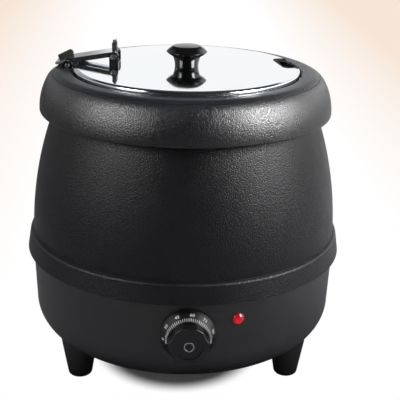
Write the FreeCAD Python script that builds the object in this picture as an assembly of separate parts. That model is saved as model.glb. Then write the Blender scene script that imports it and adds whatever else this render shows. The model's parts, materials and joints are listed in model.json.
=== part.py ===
"""Electric wet-heat soup kettle with a hinged lid, in millimetres, +Z up, floor at zero."""
import FreeCAD
import Part
import os
from math import acos, cos, degrees, radians, sin, sqrt, tan

ORIGIN = FreeCAD.Vector(0, 0, 0)
X_AXIS = FreeCAD.Vector(1, 0, 0)
Y_AXIS = FreeCAD.Vector(0, 1, 0)
Z_AXIS = FreeCAD.Vector(0, 0, 1)

# Feet
foot_height = 38.5
foot_inset = 32.5
foot_names = ("foot_left", "foot_right", "foot_rear")
foot_first_azimuth = -150
foot_azimuths = {name: foot_first_azimuth + 360 / len(foot_names) * place
                 for place, name in enumerate(foot_names)}
foot_tip_r = 13.0
foot_top_r = 19.0
foot_tip_rounding = 4.5
foot_flush_gap = 0.2
foot_screw_r = 2.5
foot_screw_grip = 14.0
foot_screw_head = 3.0
foot_pad_r = 7.0
foot_pad_height = 1.6

# Base
base_low_r = 162.0
base_flare = 2.2
base_rounding = 35.0
base_height = 93.0
base_lap = 1.5
base_wall = 2.5
base_opening_inset = 67.0
base_opening_r = base_low_r - base_opening_inset
foot_circle_r = base_low_r - foot_inset
base_top_r = base_low_r + base_flare
base_floor_z = foot_height + base_wall
seam_z = foot_height + base_height
base_top_z = seam_z + base_lap

# Bottom plate
plate_lap = 10.0
plate_thickness = 1.2
plate_screw_count = 6
vent_count = 18
vent_inset = 17.0
vent_length = 38.0
vent_width = 4.0
plate_r = base_opening_r + plate_lap
plate_screw_circle = base_opening_r + plate_lap / 2
vent_outer_r = base_opening_r - vent_inset
vent_inner_r = vent_outer_r - vent_length

# Barrel with its stepped skirt
barrel_wall = 1.2
skirt_overhang = 5.7
skirt_draft = 2.9
skirt_height = 18.3
shoulder_step = 3.6
shoulder_rise = 2.7
barrel_height = 125.5
barrel_lean = 23.4
barrel_bulge = 5.6
shelf_width = 10.4
barrel_flange_width = 10.0
skirt_r = base_top_r + skirt_overhang
skirt_top_r = skirt_r - skirt_draft
skirt_top_z = seam_z + skirt_height
barrel_low_r = skirt_top_r - shoulder_step
barrel_low_z = skirt_top_z + shoulder_rise
barrel_top_r = barrel_low_r - barrel_lean
barrel_top_z = barrel_low_z + barrel_height
barrel_flange_r = barrel_top_r - barrel_flange_width

# Collar: two tangent arcs over a small nose and a sloping underside
collar_wall = 3.0
collar_overhang = 13.4
collar_slope = 19.0
collar_nose = 2.0
collar_rise = 39.3
collar_crest_inset = 23.6
crest_rounding = 18.0
collar_foot_width = 9.0
collar_r = barrel_top_r + collar_overhang
collar_foot_z = barrel_top_z
nose_r = collar_r - collar_nose
nose_z = (collar_foot_z + (nose_r + collar_nose * sin(radians(collar_slope)) - barrel_top_r)
          * tan(radians(collar_slope)) + collar_nose * cos(radians(collar_slope)))
crest_r = collar_r - collar_crest_inset
crest_z = nose_z + collar_rise
flank_rounding = (((collar_rise - crest_rounding) ** 2 + collar_crest_inset ** 2
                   - crest_rounding ** 2) / (2 * (collar_crest_inset - crest_rounding)))
flank_r = collar_r - flank_rounding
crest_centre_z = crest_z - crest_rounding
flank_turn = degrees(acos((crest_r - flank_r) / (flank_rounding - crest_rounding)))

# Rim ring inside the collar
rim_split_inset = 13.8
rim_gap = 0.2
rim_wall = 3.0
rim_drop = 8.2
rim_ledge_width = 6.0
rim_lip_width = 9.5
rim_lip_rounding = 2.0
rim_seat_depth = 7.0
rim_seat_width = 4.7
rim_split_r = collar_r - rim_split_inset
rim_outer_r = rim_split_r - rim_gap
rim_ledge_z = crest_z - rim_drop
lip_r = crest_r - rim_lip_width
seat_z = crest_z - rim_seat_depth
seat_r = lip_r - rim_seat_width

# Water pan and inner pot
pan_wall = 0.8
pan_corner = 10.0
pan_water_gap = 3.2
pan_water_depth = 11.0
pot_wall = 0.7
pot_corner = 12.0
pan_rise = 35.3
pot_flange_thickness = 1.2
pan_flange_gap = 0.5
pan_seat_gap = 0.6
pot_flange_gap = 0.7
pot_r = seat_r - pan_seat_gap - pan_wall - pan_water_gap - pot_wall
pan_flange_z = seat_z
pot_flange_z = pan_flange_z + pan_wall
pot_rim_z = pot_flange_z + pot_flange_thickness
pan_r = pot_r + pot_wall + pan_water_gap
pan_bottom_z = foot_height + pan_rise
pot_bottom_z = pan_bottom_z + pan_wall + pan_water_depth + pot_wall

# Heater under the pan
element_width = 35.0
element_thickness = 8.0
element_pin_r = 2.0
element_pin_length = 11.0
element_pin_offset = 10.0
clamp_lap = 4.0
clamp_tie_gap = 6.0
clamp_thickness = 2.0
stud_r = 3.0
stud_length = 24.0
stud_nut_height = 5.0
stud_nut_flats = 10.0
cutout_r = 8.0
cutout_height = 9.0
cutout_gap = 4.0
cutout_azimuth = 45

# Tie rods between pan and bottom plate
tie_r = 2.5
tie_inset = 5.0
tie_count = 3
tie_azimuths = [360 / tie_count * place for place in range(tie_count)]
tie_nut_height = 4.0
tie_nut_flats = 8.0
tie_thread_end = 1.5
tie_circle = base_opening_r - tie_inset
clamp_r = tie_circle - clamp_tie_gap
element_outer_r = clamp_r - clamp_lap
element_inner_r = element_outer_r - element_width
element_z = pan_bottom_z - element_thickness
clamp_z = element_z - clamp_thickness
cutout_circle = clamp_r + cutout_gap + cutout_r

# Thermostat behind the front wall, and its dial
dial_rise = 59.5
dial_wall_gap = 2.0
dial_skirt_r = 27.3
dial_face_r = 20.3
dial_skirt_depth = 12.5
dial_depth = 24.5
dial_rim_lip = 1.2
grip_r = 19.8
grip_lobes = 6
grip_hollow_r = 22.0
grip_hollow_depth = 1.7
grip_dish_r = 13.5
grip_dish_depth = 0.9
grip_edge = 1.0
ring_outer_r = 5.1
ring_inner_r = 3.9
ring_height = 0.8
shaft_r = 3.0
shaft_hole_r = 6.5
shaft_dial_grip = 15.0
shaft_end_gap = 2.0
running_fit = 0.05
thermostat_width = 34.0
thermostat_height = 34.0
thermostat_depth = 26.0
thermostat_setback = 5.9
thermostat_boss_r = 4.5
thermostat_boss_x = 12.0
thermostat_screw_r = 1.5
thermostat_head_r = 2.9
thermostat_screw_length = 16.0
thermostat_head_depth = 1.5
thermostat_head_sink = 0.5
bulb_r = 3.0
bulb_length = 28.0
bulb_gap = 0.1
bulb_element_gap = 4.0
clip_wall = 1.2
clip_length = 10.0
clip_foot = 4.0
capillary_r = 0.9
capillary_bend = 8.0
capillary_inset = 17.0
dial_z = foot_height + dial_rise

# Pilot lamp
lamp_azimuth = -72.6
lamp_rise = 73.5
lamp_lens_r = 5.8
lamp_lens_rim = 1.2
lamp_lens_height = 4.2
lamp_body_r = 4.5
lamp_body_length = 24.0
lamp_nut_flats = 13.0
lamp_nut_height = 4.0
lamp_wall_gap = 0.3
lamp_z = foot_height + lamp_rise

# Cord gland at the back
gland_rise = 59.5
gland_bore_r = 4.0
gland_thread_r = 8.0
gland_flats = 20.0
gland_hex_height = 6.0
gland_dome_r = 9.2
gland_dome_height = 17.0
gland_dome_rounding = 3.0
gland_thread_length = 12.0
gland_nut_height = 5.0
wall_seat_gap = 0.6
gland_wall_gap = 0.7
gland_z = foot_height + gland_rise

# Terminal block and wires
block_width = 34.0
block_depth = 14.0
block_height = 16.0
block_inset = 12.0
block_slot_pitch = 10.0
block_slot_width = 6.0
block_slot_depth = 4.0
wire_r = 1.2
wire_bend = 7.0
wire_floor_gap = 0.4
wire_rise = 14.0
wire_rise_run = 30.0

# Lid
lid_gap = 2.0
lid_sheet = 1.0
lid_stop_gap = 0.3
lid_top_over_crest = 3.4
lid_band_width = 5.0
lid_edge_drop = 0.5
lid_edge_rounding = 2.2
notch_azimuth = 10
notch_width = 47.0
notch_depth = 18.8
notch_corner = 7.0
guard_wall = 1.4
guard_over = 0.5
guard_under = 3.2
lid_r = lip_r - lid_gap
lid_dish_r = lid_r - lid_band_width
notch_inner_r = lid_r - notch_depth
lid_top_z = crest_z + lid_top_over_crest
lid_edge_z = lid_top_z - lid_edge_drop
lid_skirt_z = pot_rim_z + lid_stop_gap

# Knob
knob_neck_r = 12.3
knob_flare_r = 14.6
knob_flare_height = 10.4
knob_cap_r = 21.25
knob_cap_height = 15.2
knob_top_r = 13.75
knob_height = 22.0
knob_crown = 0.8
knob_bulge = 0.4
knob_screw_r = 2.5
knob_screw_length = 14.0
knob_washer_r = 8.0
knob_washer_thickness = 1.2
knob_head_r = 4.6
knob_head_height = 2.6
screw_clearance = 0.1

# Hinge, drawn at azimuth zero and turned into place
hinge_azimuth = 176
hinge_offset = 10.2
pivot_outset = 3.7
pivot_over_crest = 1.8
pin_r = 2.5
knuckle_r = 4.5
knuckle_half = 13.0
ear_inner = 14.0
ear_outer = 19.0
ear_reach = 7.2
ear_slope = 1.6
bush_r = 5.2
bush_fit = 0.1
pivot_head_r = 2.4
pivot_head_height = 1.8
pivot_thread_r = 1.2
pivot_thread_length = 8.0
pivot_relief = 3.0
hinge_seat_drop = 8.4
pocket_half = 13.4
pocket_r = 18.6
pocket_inner = 2.3
strap_half = 12.0
strap_sheet = 1.5
strap_flange = 5.0
strap_slope = 10.0
strap_tail = 12.5
tail_slope = 20.0
tail_flange = 2.0
strap_overrun = 3.0
strap_tab_height = 11.8
strap_tab_half = 4.5
strap_tab_sheet = 3.0
grip_wall = 0.9
grip_height = 7.5
lug_r = 4.4
stop_width = 4.0
stop_outer = 11.5
stop_inner = 4.0
stop_low = 3.6
stop_high = 5.8
stop_chamfer = 2.5
bracket_reach = 48.0
bracket_sheet = 1.5
bracket_foot_sheet = 1.2
bracket_half_length = 4.7
bracket_gap = 0.8
bolt_r = 2.0
bolt_height = 8.3
bolt_head_r = 2.8
bolt_head_height = 2.0
bolt_nut_flats = 7.0
bolt_nut_height = 3.2
rivet_r = 1.6
rivet_head_r = 3.0
rivet_head_height = 1.0
rivet_y = 6.0
pivot_r = lip_r + pivot_outset
pivot_z = crest_z + pivot_over_crest
bracket_r = pivot_r - bracket_reach
strap_reach = bracket_reach + strap_overrun


def rz(r, z):
    """Point of a section: distance from the kettle's axis and height."""
    return FreeCAD.Vector(r, 0, z)


def line(a, b):
    return Part.LineSegment(a, b).toShape()


def arc(centre, radius, start, end):
    """Section arc about centre, angles in degrees from the outward direction."""
    def at(angle):
        return centre + rz(radius * cos(radians(angle)), radius * sin(radians(angle)))
    return Part.Arc(at(start), at((start + end) / 2), at(end)).toShape()


def arc_through(a, middle, b):
    return Part.Arc(a, middle, b).toShape()


def section(edges):
    """Face of a chain of edges, closed by a straight line where it is open."""
    closed = []
    for first, second in zip(edges, edges[1:] + edges[:1]):
        closed.append(first)
        end, start = first.lastVertex(True).Point, second.firstVertex(True).Point
        if end.distanceToPoint(start) > 1e-6:
            closed.append(line(end, start))
    return Part.Face(Part.Wire(closed))


def polygon(points):
    return Part.Face(Part.makePolygon([*points, points[0]]))


def spun(face):
    return face.revolve(ORIGIN, Z_AXIS, 360)


def rod(radius, start, end, r=0, azimuth=0):
    """Upright cylinder between two heights."""
    body = Part.makeCylinder(radius, end - start, FreeCAD.Vector(r, 0, start))
    return turned(body, azimuth)


def tube(outer, inner, start, end):
    return rod(outer, start, end).cut(rod(inner, start, end))


def cross_rod(radius, x, z, start, end):
    """Cylinder along Y."""
    return Part.makeCylinder(radius, end - start, FreeCAD.Vector(x, start, z), Y_AXIS)


def block(x, y, z):
    """Box between pairs of coordinates."""
    return Part.makeBox(x[1] - x[0], y[1] - y[0], z[1] - z[0], FreeCAD.Vector(x[0], y[0], z[0]))


def hexagon(flats, start, end):
    corner_r = flats / sqrt(3)
    corners = [FreeCAD.Vector(corner_r * cos(radians(60 * i)), corner_r * sin(radians(60 * i)), start)
               for i in range(6)]
    return polygon(corners).extrude(FreeCAD.Vector(0, 0, end - start))


def turned(shape, azimuth):
    result = shape.copy()
    result.rotate(ORIGIN, Z_AXIS, azimuth)
    return result


def moved(shape, x=0, y=0, z=0):
    result = shape.copy()
    result.translate(FreeCAD.Vector(x, y, z))
    return result


def outward(shape, azimuth, height):
    """Turn a piece built along +Z from the axis so that it points outward at an azimuth."""
    result = shape.copy()
    result.rotate(ORIGIN, X_AXIS, 90)
    result.translate(FreeCAD.Vector(0, 0, height))
    result.rotate(ORIGIN, Z_AXIS, azimuth + 90)
    return result


def ring_of(shape, count):
    return [turned(shape, 360 * i / count) for i in range(count)]


def wire_tube(points, radius, bend):
    """Round wire along straight runs joined by bends of one radius."""
    points = [FreeCAD.Vector(*p) for p in points]
    edges, start = [], points[0]
    for before, corner, after in zip(points, points[1:], points[2:]):
        a, b = (before - corner).normalize(), (after - corner).normalize()
        half = acos(max(-1.0, min(1.0, a.dot(b)))) / 2
        cut = bend / tan(half)
        middle = corner + (a + b).normalize() * (bend / sin(half) - bend)
        edges += [line(start, corner + a * cut), arc_through(corner + a * cut, middle, corner + b * cut)]
        start = corner + b * cut
    edges.append(line(start, points[-1]))
    profile = Part.Wire(Part.makeCircle(radius, points[0], points[1] - points[0]))
    return Part.Wire(edges).makePipeShell([profile], True, False)


def base_wall_r(z):
    """Outer radius of the straight part of the base wall."""
    low_z = foot_height + base_rounding
    return base_low_r + base_flare * (z - low_z) / (seam_z - low_z)


def base_outline(inset):
    """Outside of the base, or its inside when inset by the wall."""
    centre = rz(base_low_r - base_rounding, foot_height + base_rounding)
    return [line(rz(0, foot_height + inset), rz(centre.x, foot_height + inset)),
            arc(centre, base_rounding - inset, -90, 0),
            line(rz(base_low_r - inset, centre.z), rz(base_top_r - inset, seam_z)),
            line(rz(base_top_r - inset, seam_z), rz(base_top_r - inset, base_top_z)),
            line(rz(base_top_r - inset, base_top_z), rz(0, base_top_z))]


def base_outer():
    return spun(section(base_outline(0)))


def base_inner():
    return spun(section(base_outline(base_wall)))


def base_shell():
    shell = base_outer().cut(base_inner())
    shell = shell.cut(rod(base_opening_r, foot_height, base_floor_z))
    pads = [rod(foot_pad_r, foot_height + foot_pad_height, base_floor_z + foot_pad_height, foot_circle_r,
                azimuth) for azimuth in foot_azimuths.values()]
    shell = shell.fuse(pads)
    holes = [rod(foot_screw_r + screw_clearance, 0, base_floor_z + foot_pad_height, foot_circle_r, azimuth)
             for azimuth in foot_azimuths.values()]
    holes += ring_of(rod(tie_r - screw_clearance, foot_height, base_floor_z, plate_screw_circle),
                     plate_screw_count)
    holes.append(outward(rod(shaft_hole_r, 0, skirt_r), -90, dial_z))
    holes.append(outward(rod(lamp_body_r + lamp_wall_gap, 0, skirt_r), lamp_azimuth, lamp_z))
    holes.append(outward(rod(gland_thread_r + screw_clearance, 0, skirt_r), 90, gland_z))
    holes += thermostat_screw_pair(screw_clearance, skirt_r)
    return shell.cut(Part.makeCompound(holes))


def bottom_plate():
    plate = rod(plate_r, foot_height - plate_thickness, foot_height)
    half = vent_width / 2
    slot = block((vent_inner_r, vent_outer_r), (-half, half), (0, foot_height))
    slot = slot.fuse([rod(half, 0, foot_height, vent_inner_r), rod(half, 0, foot_height, vent_outer_r)])
    holes = ring_of(slot, vent_count)
    holes += ring_of(rod(tie_r - screw_clearance, 0, foot_height, plate_screw_circle), plate_screw_count)
    holes += [rod(tie_r + screw_clearance, 0, foot_height, tie_circle, a) for a in tie_azimuths]
    return plate.cut(Part.makeCompound(holes))


def bottom_screws():
    low = foot_height - plate_thickness
    screw = rod(tie_r - 2 * screw_clearance, low, base_floor_z, plate_screw_circle)
    head = rod(tie_r + foot_screw_r, low - pivot_head_height, low, plate_screw_circle)
    return Part.makeCompound(ring_of(screw.fuse(head), plate_screw_count))


def foot(azimuth):
    """Tapered foot whose top follows the rounding of the base."""
    taper = (foot_top_r - foot_tip_r) / foot_height
    tall = foot_height + base_rounding / 2
    body = Part.makeCone(foot_tip_r, foot_tip_r + taper * tall, tall)
    body = body.makeFillet(foot_tip_rounding, [e for e in body.Edges if e.BoundBox.ZMax < 1])
    body = moved(body, foot_circle_r)
    outline = base_outline(-foot_flush_gap)[1:]
    floor = line(rz(0, foot_height), rz(base_low_r - base_rounding, foot_height))
    body = body.cut(spun(section([floor, *outline])))
    hole = rod(foot_screw_r + screw_clearance, foot_height - foot_screw_grip - 1, tall, foot_circle_r)
    return turned(body.cut(hole), azimuth)


def foot_screws():
    seat = base_floor_z + foot_pad_height
    screw = rod(foot_screw_r, foot_height - foot_screw_grip, seat, foot_circle_r)
    screw = screw.fuse(rod(2 * foot_screw_r, seat, seat + foot_screw_head, foot_circle_r))
    return Part.makeCompound([turned(screw, a) for a in foot_azimuths.values()])


def barrel():
    """Grained barrel; its inner shelf rests on the base and its top flange carries the collar."""
    w = barrel_wall
    mid_r, mid_z = (barrel_low_r + barrel_top_r) / 2 + barrel_bulge, (barrel_low_z + barrel_top_z) / 2
    shoulder = rz(skirt_top_r - 0.3 * shoulder_step, skirt_top_z + 0.72 * shoulder_rise)
    low, top = rz(barrel_low_r, barrel_low_z), rz(barrel_top_r, barrel_top_z)
    shelf_r = barrel_low_r + barrel_wall - shelf_width
    lean = skirt_draft / skirt_height
    lip_in, skirt_in = skirt_r - w - lean * base_lap, skirt_r - w - lean * (base_lap + w)
    edges = [line(rz(skirt_r, seam_z), rz(skirt_top_r, skirt_top_z)),
             arc_through(rz(skirt_top_r, skirt_top_z), shoulder, low),
             arc_through(low, rz(mid_r, mid_z), top),
             line(top, rz(barrel_flange_r, barrel_top_z)),
             line(rz(barrel_flange_r, barrel_top_z), rz(barrel_flange_r, barrel_top_z - w)),
             line(rz(barrel_flange_r, barrel_top_z - w), rz(barrel_top_r - 1.2 * w, barrel_top_z - w)),
             arc_through(rz(barrel_top_r - 1.2 * w, barrel_top_z - w), rz(mid_r - w, mid_z),
                         rz(barrel_low_r - w, barrel_low_z)),
             line(rz(barrel_low_r - w, barrel_low_z), rz(barrel_low_r - w, skirt_top_z)),
             line(rz(barrel_low_r - w, skirt_top_z), rz(skirt_top_r - w, skirt_top_z)),
             line(rz(skirt_top_r - w, skirt_top_z), rz(skirt_in, base_top_z + w)),
             line(rz(skirt_in, base_top_z + w), rz(shelf_r, base_top_z + w)),
             line(rz(shelf_r, base_top_z + w), rz(shelf_r, base_top_z)),
             line(rz(shelf_r, base_top_z), rz(lip_in, base_top_z)),
             line(rz(lip_in, base_top_z), rz(skirt_r - w, seam_z))]
    return spun(section(edges))


def collar_outline(inset):
    """Upper outline of the collar from its nose to the crest."""
    return [arc(rz(flank_r, nose_z), flank_rounding - inset, 0, flank_turn),
            arc(rz(crest_r, crest_centre_z), crest_rounding - inset, flank_turn, 90)]


def collar_lump():
    """Everything inside the collar's outer surface, above its nose."""
    return spun(section([*collar_outline(0), line(rz(crest_r, crest_z), rz(0, crest_z)),
                         line(rz(0, crest_z), rz(0, nose_z))]))


def skin():
    """Top skin of collar and rim ring before they are parted."""
    inner = [arc(rz(crest_r, crest_centre_z), crest_rounding - collar_wall, 90, flank_turn),
             arc(rz(flank_r, nose_z), flank_rounding - collar_wall, flank_turn, 0)]
    return spun(section([*collar_outline(0), *inner]))


def at_hinge(shape):
    """Turn a piece of the hinge into place, its middle plane beside the kettle's axis."""
    return turned(moved(shape, 0, -hinge_offset), hinge_azimuth)


def hinge_floor(inner, outer, low):
    """Flat floor under the hinge, across both ears."""
    seat = pivot_z - hinge_seat_drop
    return at_hinge(block((inner, outer), (-ear_outer, ear_outer), (low, seat)))


def hinge_relief():
    """Room that the hinge needs: flat seat outside the ears, and the pocket of the strap's tail."""
    seat = block((pivot_r + ear_reach, collar_r), (-ear_outer, ear_outer),
                 (pivot_z - hinge_seat_drop, pivot_z + ear_reach))
    return at_hinge(seat)


def hinge_pocket():
    tail = cross_rod(pocket_r, pivot_r, pivot_z, -pocket_half, pocket_half)
    tail = tail.common(block((pivot_r - pocket_inner, collar_r), (-pocket_half, pocket_half),
                             (pivot_z - pocket_r, pivot_z + pocket_r)))
    knuckle = cross_rod(knuckle_r + 1, pivot_r, pivot_z, -pocket_half, pocket_half)
    return at_hinge(tail.fuse(knuckle))


def collar():
    slope = radians(collar_slope)
    nose = rz(nose_r, nose_z)
    w = collar_wall
    tip = nose + rz(collar_nose * sin(slope), -collar_nose * cos(slope))
    foot_r = barrel_top_r - collar_foot_width
    wall_in = rz(collar_r - w, nose_z)
    lower = spun(section([
        line(rz(foot_r, collar_foot_z), rz(barrel_top_r, collar_foot_z)),
        line(rz(barrel_top_r, collar_foot_z), tip),
        arc(nose, collar_nose, collar_slope - 90, 0),
        line(rz(collar_r, nose_z), wall_in),
        line(wall_in, rz(barrel_top_r, collar_foot_z + w)),
        line(rz(barrel_top_r, collar_foot_z + w), rz(foot_r, collar_foot_z + w))]))
    lump = collar_lump()
    upper = skin().cut(rod(rim_split_r, nose_z, crest_z))
    ledge = rod(collar_r, rim_ledge_z - w, rim_ledge_z).cut(
        rod(rim_split_r - rim_ledge_width, rim_ledge_z - w, rim_ledge_z)).common(lump)
    floor = hinge_floor(rim_split_r - 1, collar_r, rim_ledge_z - w).common(lump)
    floor = floor.cut(rod(rim_split_r, rim_ledge_z, crest_z))
    body = upper.cut(hinge_relief()).fuse([lower, ledge, floor])
    return body.cut(hinge_pocket()).removeSplitter()


def rim_ring():
    """Smooth ring with the seat of pan and pot, and the two ears of the hinge."""
    w = rim_wall
    lip = spun(section([
        line(rz(crest_r, crest_z), rz(lip_r + rim_lip_rounding, crest_z)),
        arc(rz(lip_r + rim_lip_rounding, crest_z - rim_lip_rounding), rim_lip_rounding, 90, 180),
        line(rz(lip_r, crest_z - rim_lip_rounding), rz(lip_r, seat_z)),
        line(rz(lip_r, seat_z), rz(seat_r, seat_z)),
        line(rz(seat_r, seat_z), rz(seat_r, seat_z - w)),
        line(rz(seat_r, seat_z - w), rz(lip_r + w, seat_z - w)),
        line(rz(lip_r + w, seat_z - w), rz(lip_r + w, crest_z - w)),
        line(rz(lip_r + w, crest_z - w), rz(crest_r, crest_z - w))]))
    top = skin().common(rod(rim_outer_r, nose_z, crest_z))
    foot_ring = tube(rim_outer_r, rim_outer_r - w, rim_ledge_z, crest_z).common(collar_lump())
    floor = hinge_floor(lip_r + w / 2, rim_outer_r, rim_ledge_z).common(rod(rim_outer_r, 0, crest_z))
    body = top.fuse([lip, foot_ring]).cut(hinge_relief()).fuse(floor)
    for side in (-ear_outer, ear_inner):
        body = body.fuse(at_hinge(ear(side)))
    relief = ear_outer + pivot_relief
    bushes = cross_rod(bush_r + bush_fit, pivot_r, pivot_z, -relief, relief)
    body = body.cut([hinge_pocket(), at_hinge(bushes)])
    inside = rod(lip_r, seat_z, pivot_z + ear_reach)
    return body.cut(inside).removeSplitter()


def ear(start):
    """Ear with the half-round cradle still to be cut."""
    foot_z = pivot_z - hinge_seat_drop
    outer_r = pivot_r + ear_reach
    side = polygon([rz(lip_r - 1, foot_z), rz(outer_r + ear_slope, foot_z), rz(outer_r, pivot_z),
                    rz(lip_r - 1, pivot_z)])
    return moved(side.extrude(FreeCAD.Vector(0, ear_outer - ear_inner, 0)), 0, start)


def vessel(radius, wall, corner, bottom, rim, flange_r, flange):
    """Round vessel with a flat bottom, a rounded corner and a flange at its rim."""
    outer, inner = corner + wall, corner
    centre = rz(radius - corner, bottom + corner)
    return spun(section([
        line(rz(0, bottom - wall), rz(centre.x, bottom - wall)),
        arc(centre, outer, -90, 0),
        line(rz(radius + wall, centre.z), rz(radius + wall, rim - flange)),
        line(rz(radius + wall, rim - flange), rz(flange_r, rim - flange)),
        line(rz(flange_r, rim - flange), rz(flange_r, rim)),
        line(rz(flange_r, rim), rz(radius, rim)),
        line(rz(radius, rim), rz(radius, centre.z)),
        arc(centre, inner, 0, -90),
        line(rz(centre.x, bottom), rz(0, bottom))]))


def water_pan():
    return vessel(pan_r, pan_wall, pan_corner, pan_bottom_z + pan_wall, pan_flange_z + pan_wall,
                  lip_r - pan_flange_gap, pan_wall)


def pot():
    return vessel(pot_r, pot_wall, pot_corner, pot_bottom_z, pot_rim_z, lip_r - pot_flange_gap,
                  pot_flange_thickness)


def heating_element():
    ring = tube(element_outer_r, element_inner_r, element_z, pan_bottom_z)
    middle = element_z + element_thickness / 2
    pins = [cross_rod(element_pin_r, x, middle, element_inner_r + element_pin_length,
                      element_outer_r + element_pin_length)
            for x in (-element_pin_offset, element_pin_offset)]
    return ring.fuse(pins).removeSplitter()


def element_plate():
    return tube(clamp_r, stud_r + screw_clearance, clamp_z, element_z)


def pan_stud():
    return rod(stud_r, pan_bottom_z - stud_length, pan_bottom_z)


def stud_nut():
    return hexagon(stud_nut_flats, clamp_z - stud_nut_height, clamp_z).cut(
        rod(stud_r + screw_clearance, 0, clamp_z))


def tie_rods():
    low = foot_height - plate_thickness - tie_nut_height - tie_thread_end
    return Part.makeCompound([rod(tie_r, low, pan_bottom_z, tie_circle, a) for a in tie_azimuths])


def tie_nuts():
    top = foot_height - plate_thickness
    nut = hexagon(tie_nut_flats, top - tie_nut_height, top).cut(rod(tie_r + screw_clearance, 0, top))
    nut = moved(nut, tie_circle)
    return Part.makeCompound([turned(nut, a) for a in tie_azimuths])


def thermal_cutout():
    return rod(cutout_r, pan_bottom_z - cutout_height, pan_bottom_z, cutout_circle, cutout_azimuth)


dial_back = base_wall_r(dial_z) + dial_wall_gap
thermostat_front = base_wall_r(dial_z) - thermostat_setback
thermostat_back = thermostat_front - thermostat_depth
thermostat_base_z = dial_z - thermostat_height / 2


def along_dial(shape):
    """Stand a piece drawn along +Z on the dial's axis, with +Y of the drawing upward."""
    return outward(shape, -90, dial_z)


def dial():
    """Conical skirt, lobed grip with a shallow dish, and the bore for the shaft."""
    face_z, front_z = dial_back + dial_skirt_depth, dial_back + dial_depth
    body = spun(section([
        line(rz(0, dial_back), rz(dial_skirt_r, dial_back)),
        line(rz(dial_skirt_r, dial_back), rz(dial_skirt_r, dial_back + dial_rim_lip)),
        line(rz(dial_skirt_r, dial_back + dial_rim_lip), rz(dial_face_r, face_z)),
        line(rz(dial_face_r, face_z), rz(0, face_z))]))
    grip = rod(grip_r, face_z, front_z)
    hollow = rod(grip_hollow_r, face_z, front_z, grip_r + grip_hollow_r - grip_hollow_depth)
    hollows = [turned(hollow, 30) for hollow in ring_of(hollow, grip_lobes)]
    grip = grip.cut(hollows)
    grip = grip.makeFillet(grip_edge, [e for e in grip.Edges if e.BoundBox.ZMin > front_z - 1e-3])
    dish = rod(grip_dish_r, front_z - grip_dish_depth, front_z)
    bore = rod(shaft_r + screw_clearance, dial_back, dial_back + shaft_dial_grip + 1)
    return along_dial(body.fuse(grip).cut([dish, bore]).removeSplitter())


def dial_ring():
    low = dial_back + dial_depth - grip_dish_depth
    return along_dial(tube(ring_outer_r, ring_inner_r, low, low + ring_height))


def dial_shaft():
    return along_dial(rod(shaft_r, thermostat_back + thermostat_depth / 3 + shaft_end_gap,
                          dial_back + shaft_dial_grip))


def thermostat_screw_pair(clearance, head_top):
    """Countersunk screws through the wall, or the holes for them."""
    head_z = base_wall_r(dial_z) - thermostat_head_sink - thermostat_head_depth
    tip = head_z + thermostat_head_depth - thermostat_screw_length
    shank = rod(thermostat_screw_r + clearance, tip - clearance, head_z)
    cone = Part.makeCone(thermostat_screw_r + clearance, thermostat_head_r + clearance,
                         thermostat_head_depth, FreeCAD.Vector(0, 0, head_z))
    screw = shank.fuse(cone)
    if head_top > head_z + thermostat_head_depth:
        screw = screw.fuse(rod(thermostat_head_r + clearance, head_z + thermostat_head_depth, head_top))
    return [along_dial(moved(screw, x)) for x in (-thermostat_boss_x, thermostat_boss_x)]


def thermostat_body():
    half_x, half_y = thermostat_width / 2, thermostat_height / 2
    case = block((-half_x, half_x), (-half_y, half_y), (thermostat_back, thermostat_front))
    bosses = [moved(rod(thermostat_boss_r, thermostat_front, skirt_r), x)
              for x in (-thermostat_boss_x, thermostat_boss_x)]
    body = along_dial(case.fuse(bosses)).common(base_inner())
    bore = along_dial(rod(shaft_r + running_fit, thermostat_back + thermostat_depth / 3, skirt_r))
    return body.cut([bore, *thermostat_screw_pair(screw_clearance, 0)])


def thermostat_screws():
    return Part.makeCompound(thermostat_screw_pair(0, 0))


bulb_z = pan_bottom_z - bulb_gap - bulb_r
bulb_end = -(element_outer_r + bulb_element_gap + bulb_length)


def sensor_bulb():
    return cross_rod(bulb_r, 0, bulb_z, bulb_end, bulb_end + bulb_length)


def bulb_clip():
    half = bulb_r + bulb_gap + clip_wall
    middle = bulb_end + bulb_length / 2
    span = (middle - clip_length / 2, middle + clip_length / 2)
    saddle = block((-half, half), span, (bulb_z - half, pan_bottom_z))
    feet = block((-half - clip_foot, half + clip_foot), span, (pan_bottom_z - clip_wall, pan_bottom_z))
    inner = bulb_r + bulb_gap
    room = block((-inner, inner), span, (bulb_z, pan_bottom_z))
    return saddle.fuse(feet).cut([cross_rod(inner, 0, bulb_z, *span), room])


def capillary_tube():
    y = -(thermostat_front - capillary_inset)
    return wire_tube([(0, y, thermostat_base_z), (0, y, bulb_z), (0, bulb_end, bulb_z)],
                     capillary_r, capillary_bend)


lamp_seat = base_wall_r(lamp_z) + lamp_wall_gap


def pilot_lamp_lens():
    rim = rod(lamp_lens_r, lamp_seat, lamp_seat + lamp_lens_rim)
    rise = lamp_lens_height - lamp_lens_rim
    ball = (lamp_lens_r ** 2 + rise ** 2) / (2 * rise)
    dome = Part.makeSphere(ball, FreeCAD.Vector(0, 0, lamp_seat + lamp_lens_height - ball))
    dome = dome.common(rod(2 * lamp_lens_r, lamp_seat + lamp_lens_rim, lamp_seat + 2 * lamp_lens_height))
    return outward(rim.fuse(dome).removeSplitter(), lamp_azimuth, lamp_z)


def pilot_lamp_body():
    return outward(rod(lamp_body_r, lamp_seat - lamp_body_length, lamp_seat), lamp_azimuth, lamp_z)


def lamp_nut():
    top = base_wall_r(lamp_z) - base_wall - wall_seat_gap
    nut = hexagon(lamp_nut_flats, top - lamp_nut_height, top).cut(
        rod(lamp_body_r + screw_clearance, 0, top))
    return outward(nut, lamp_azimuth, lamp_z)


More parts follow.
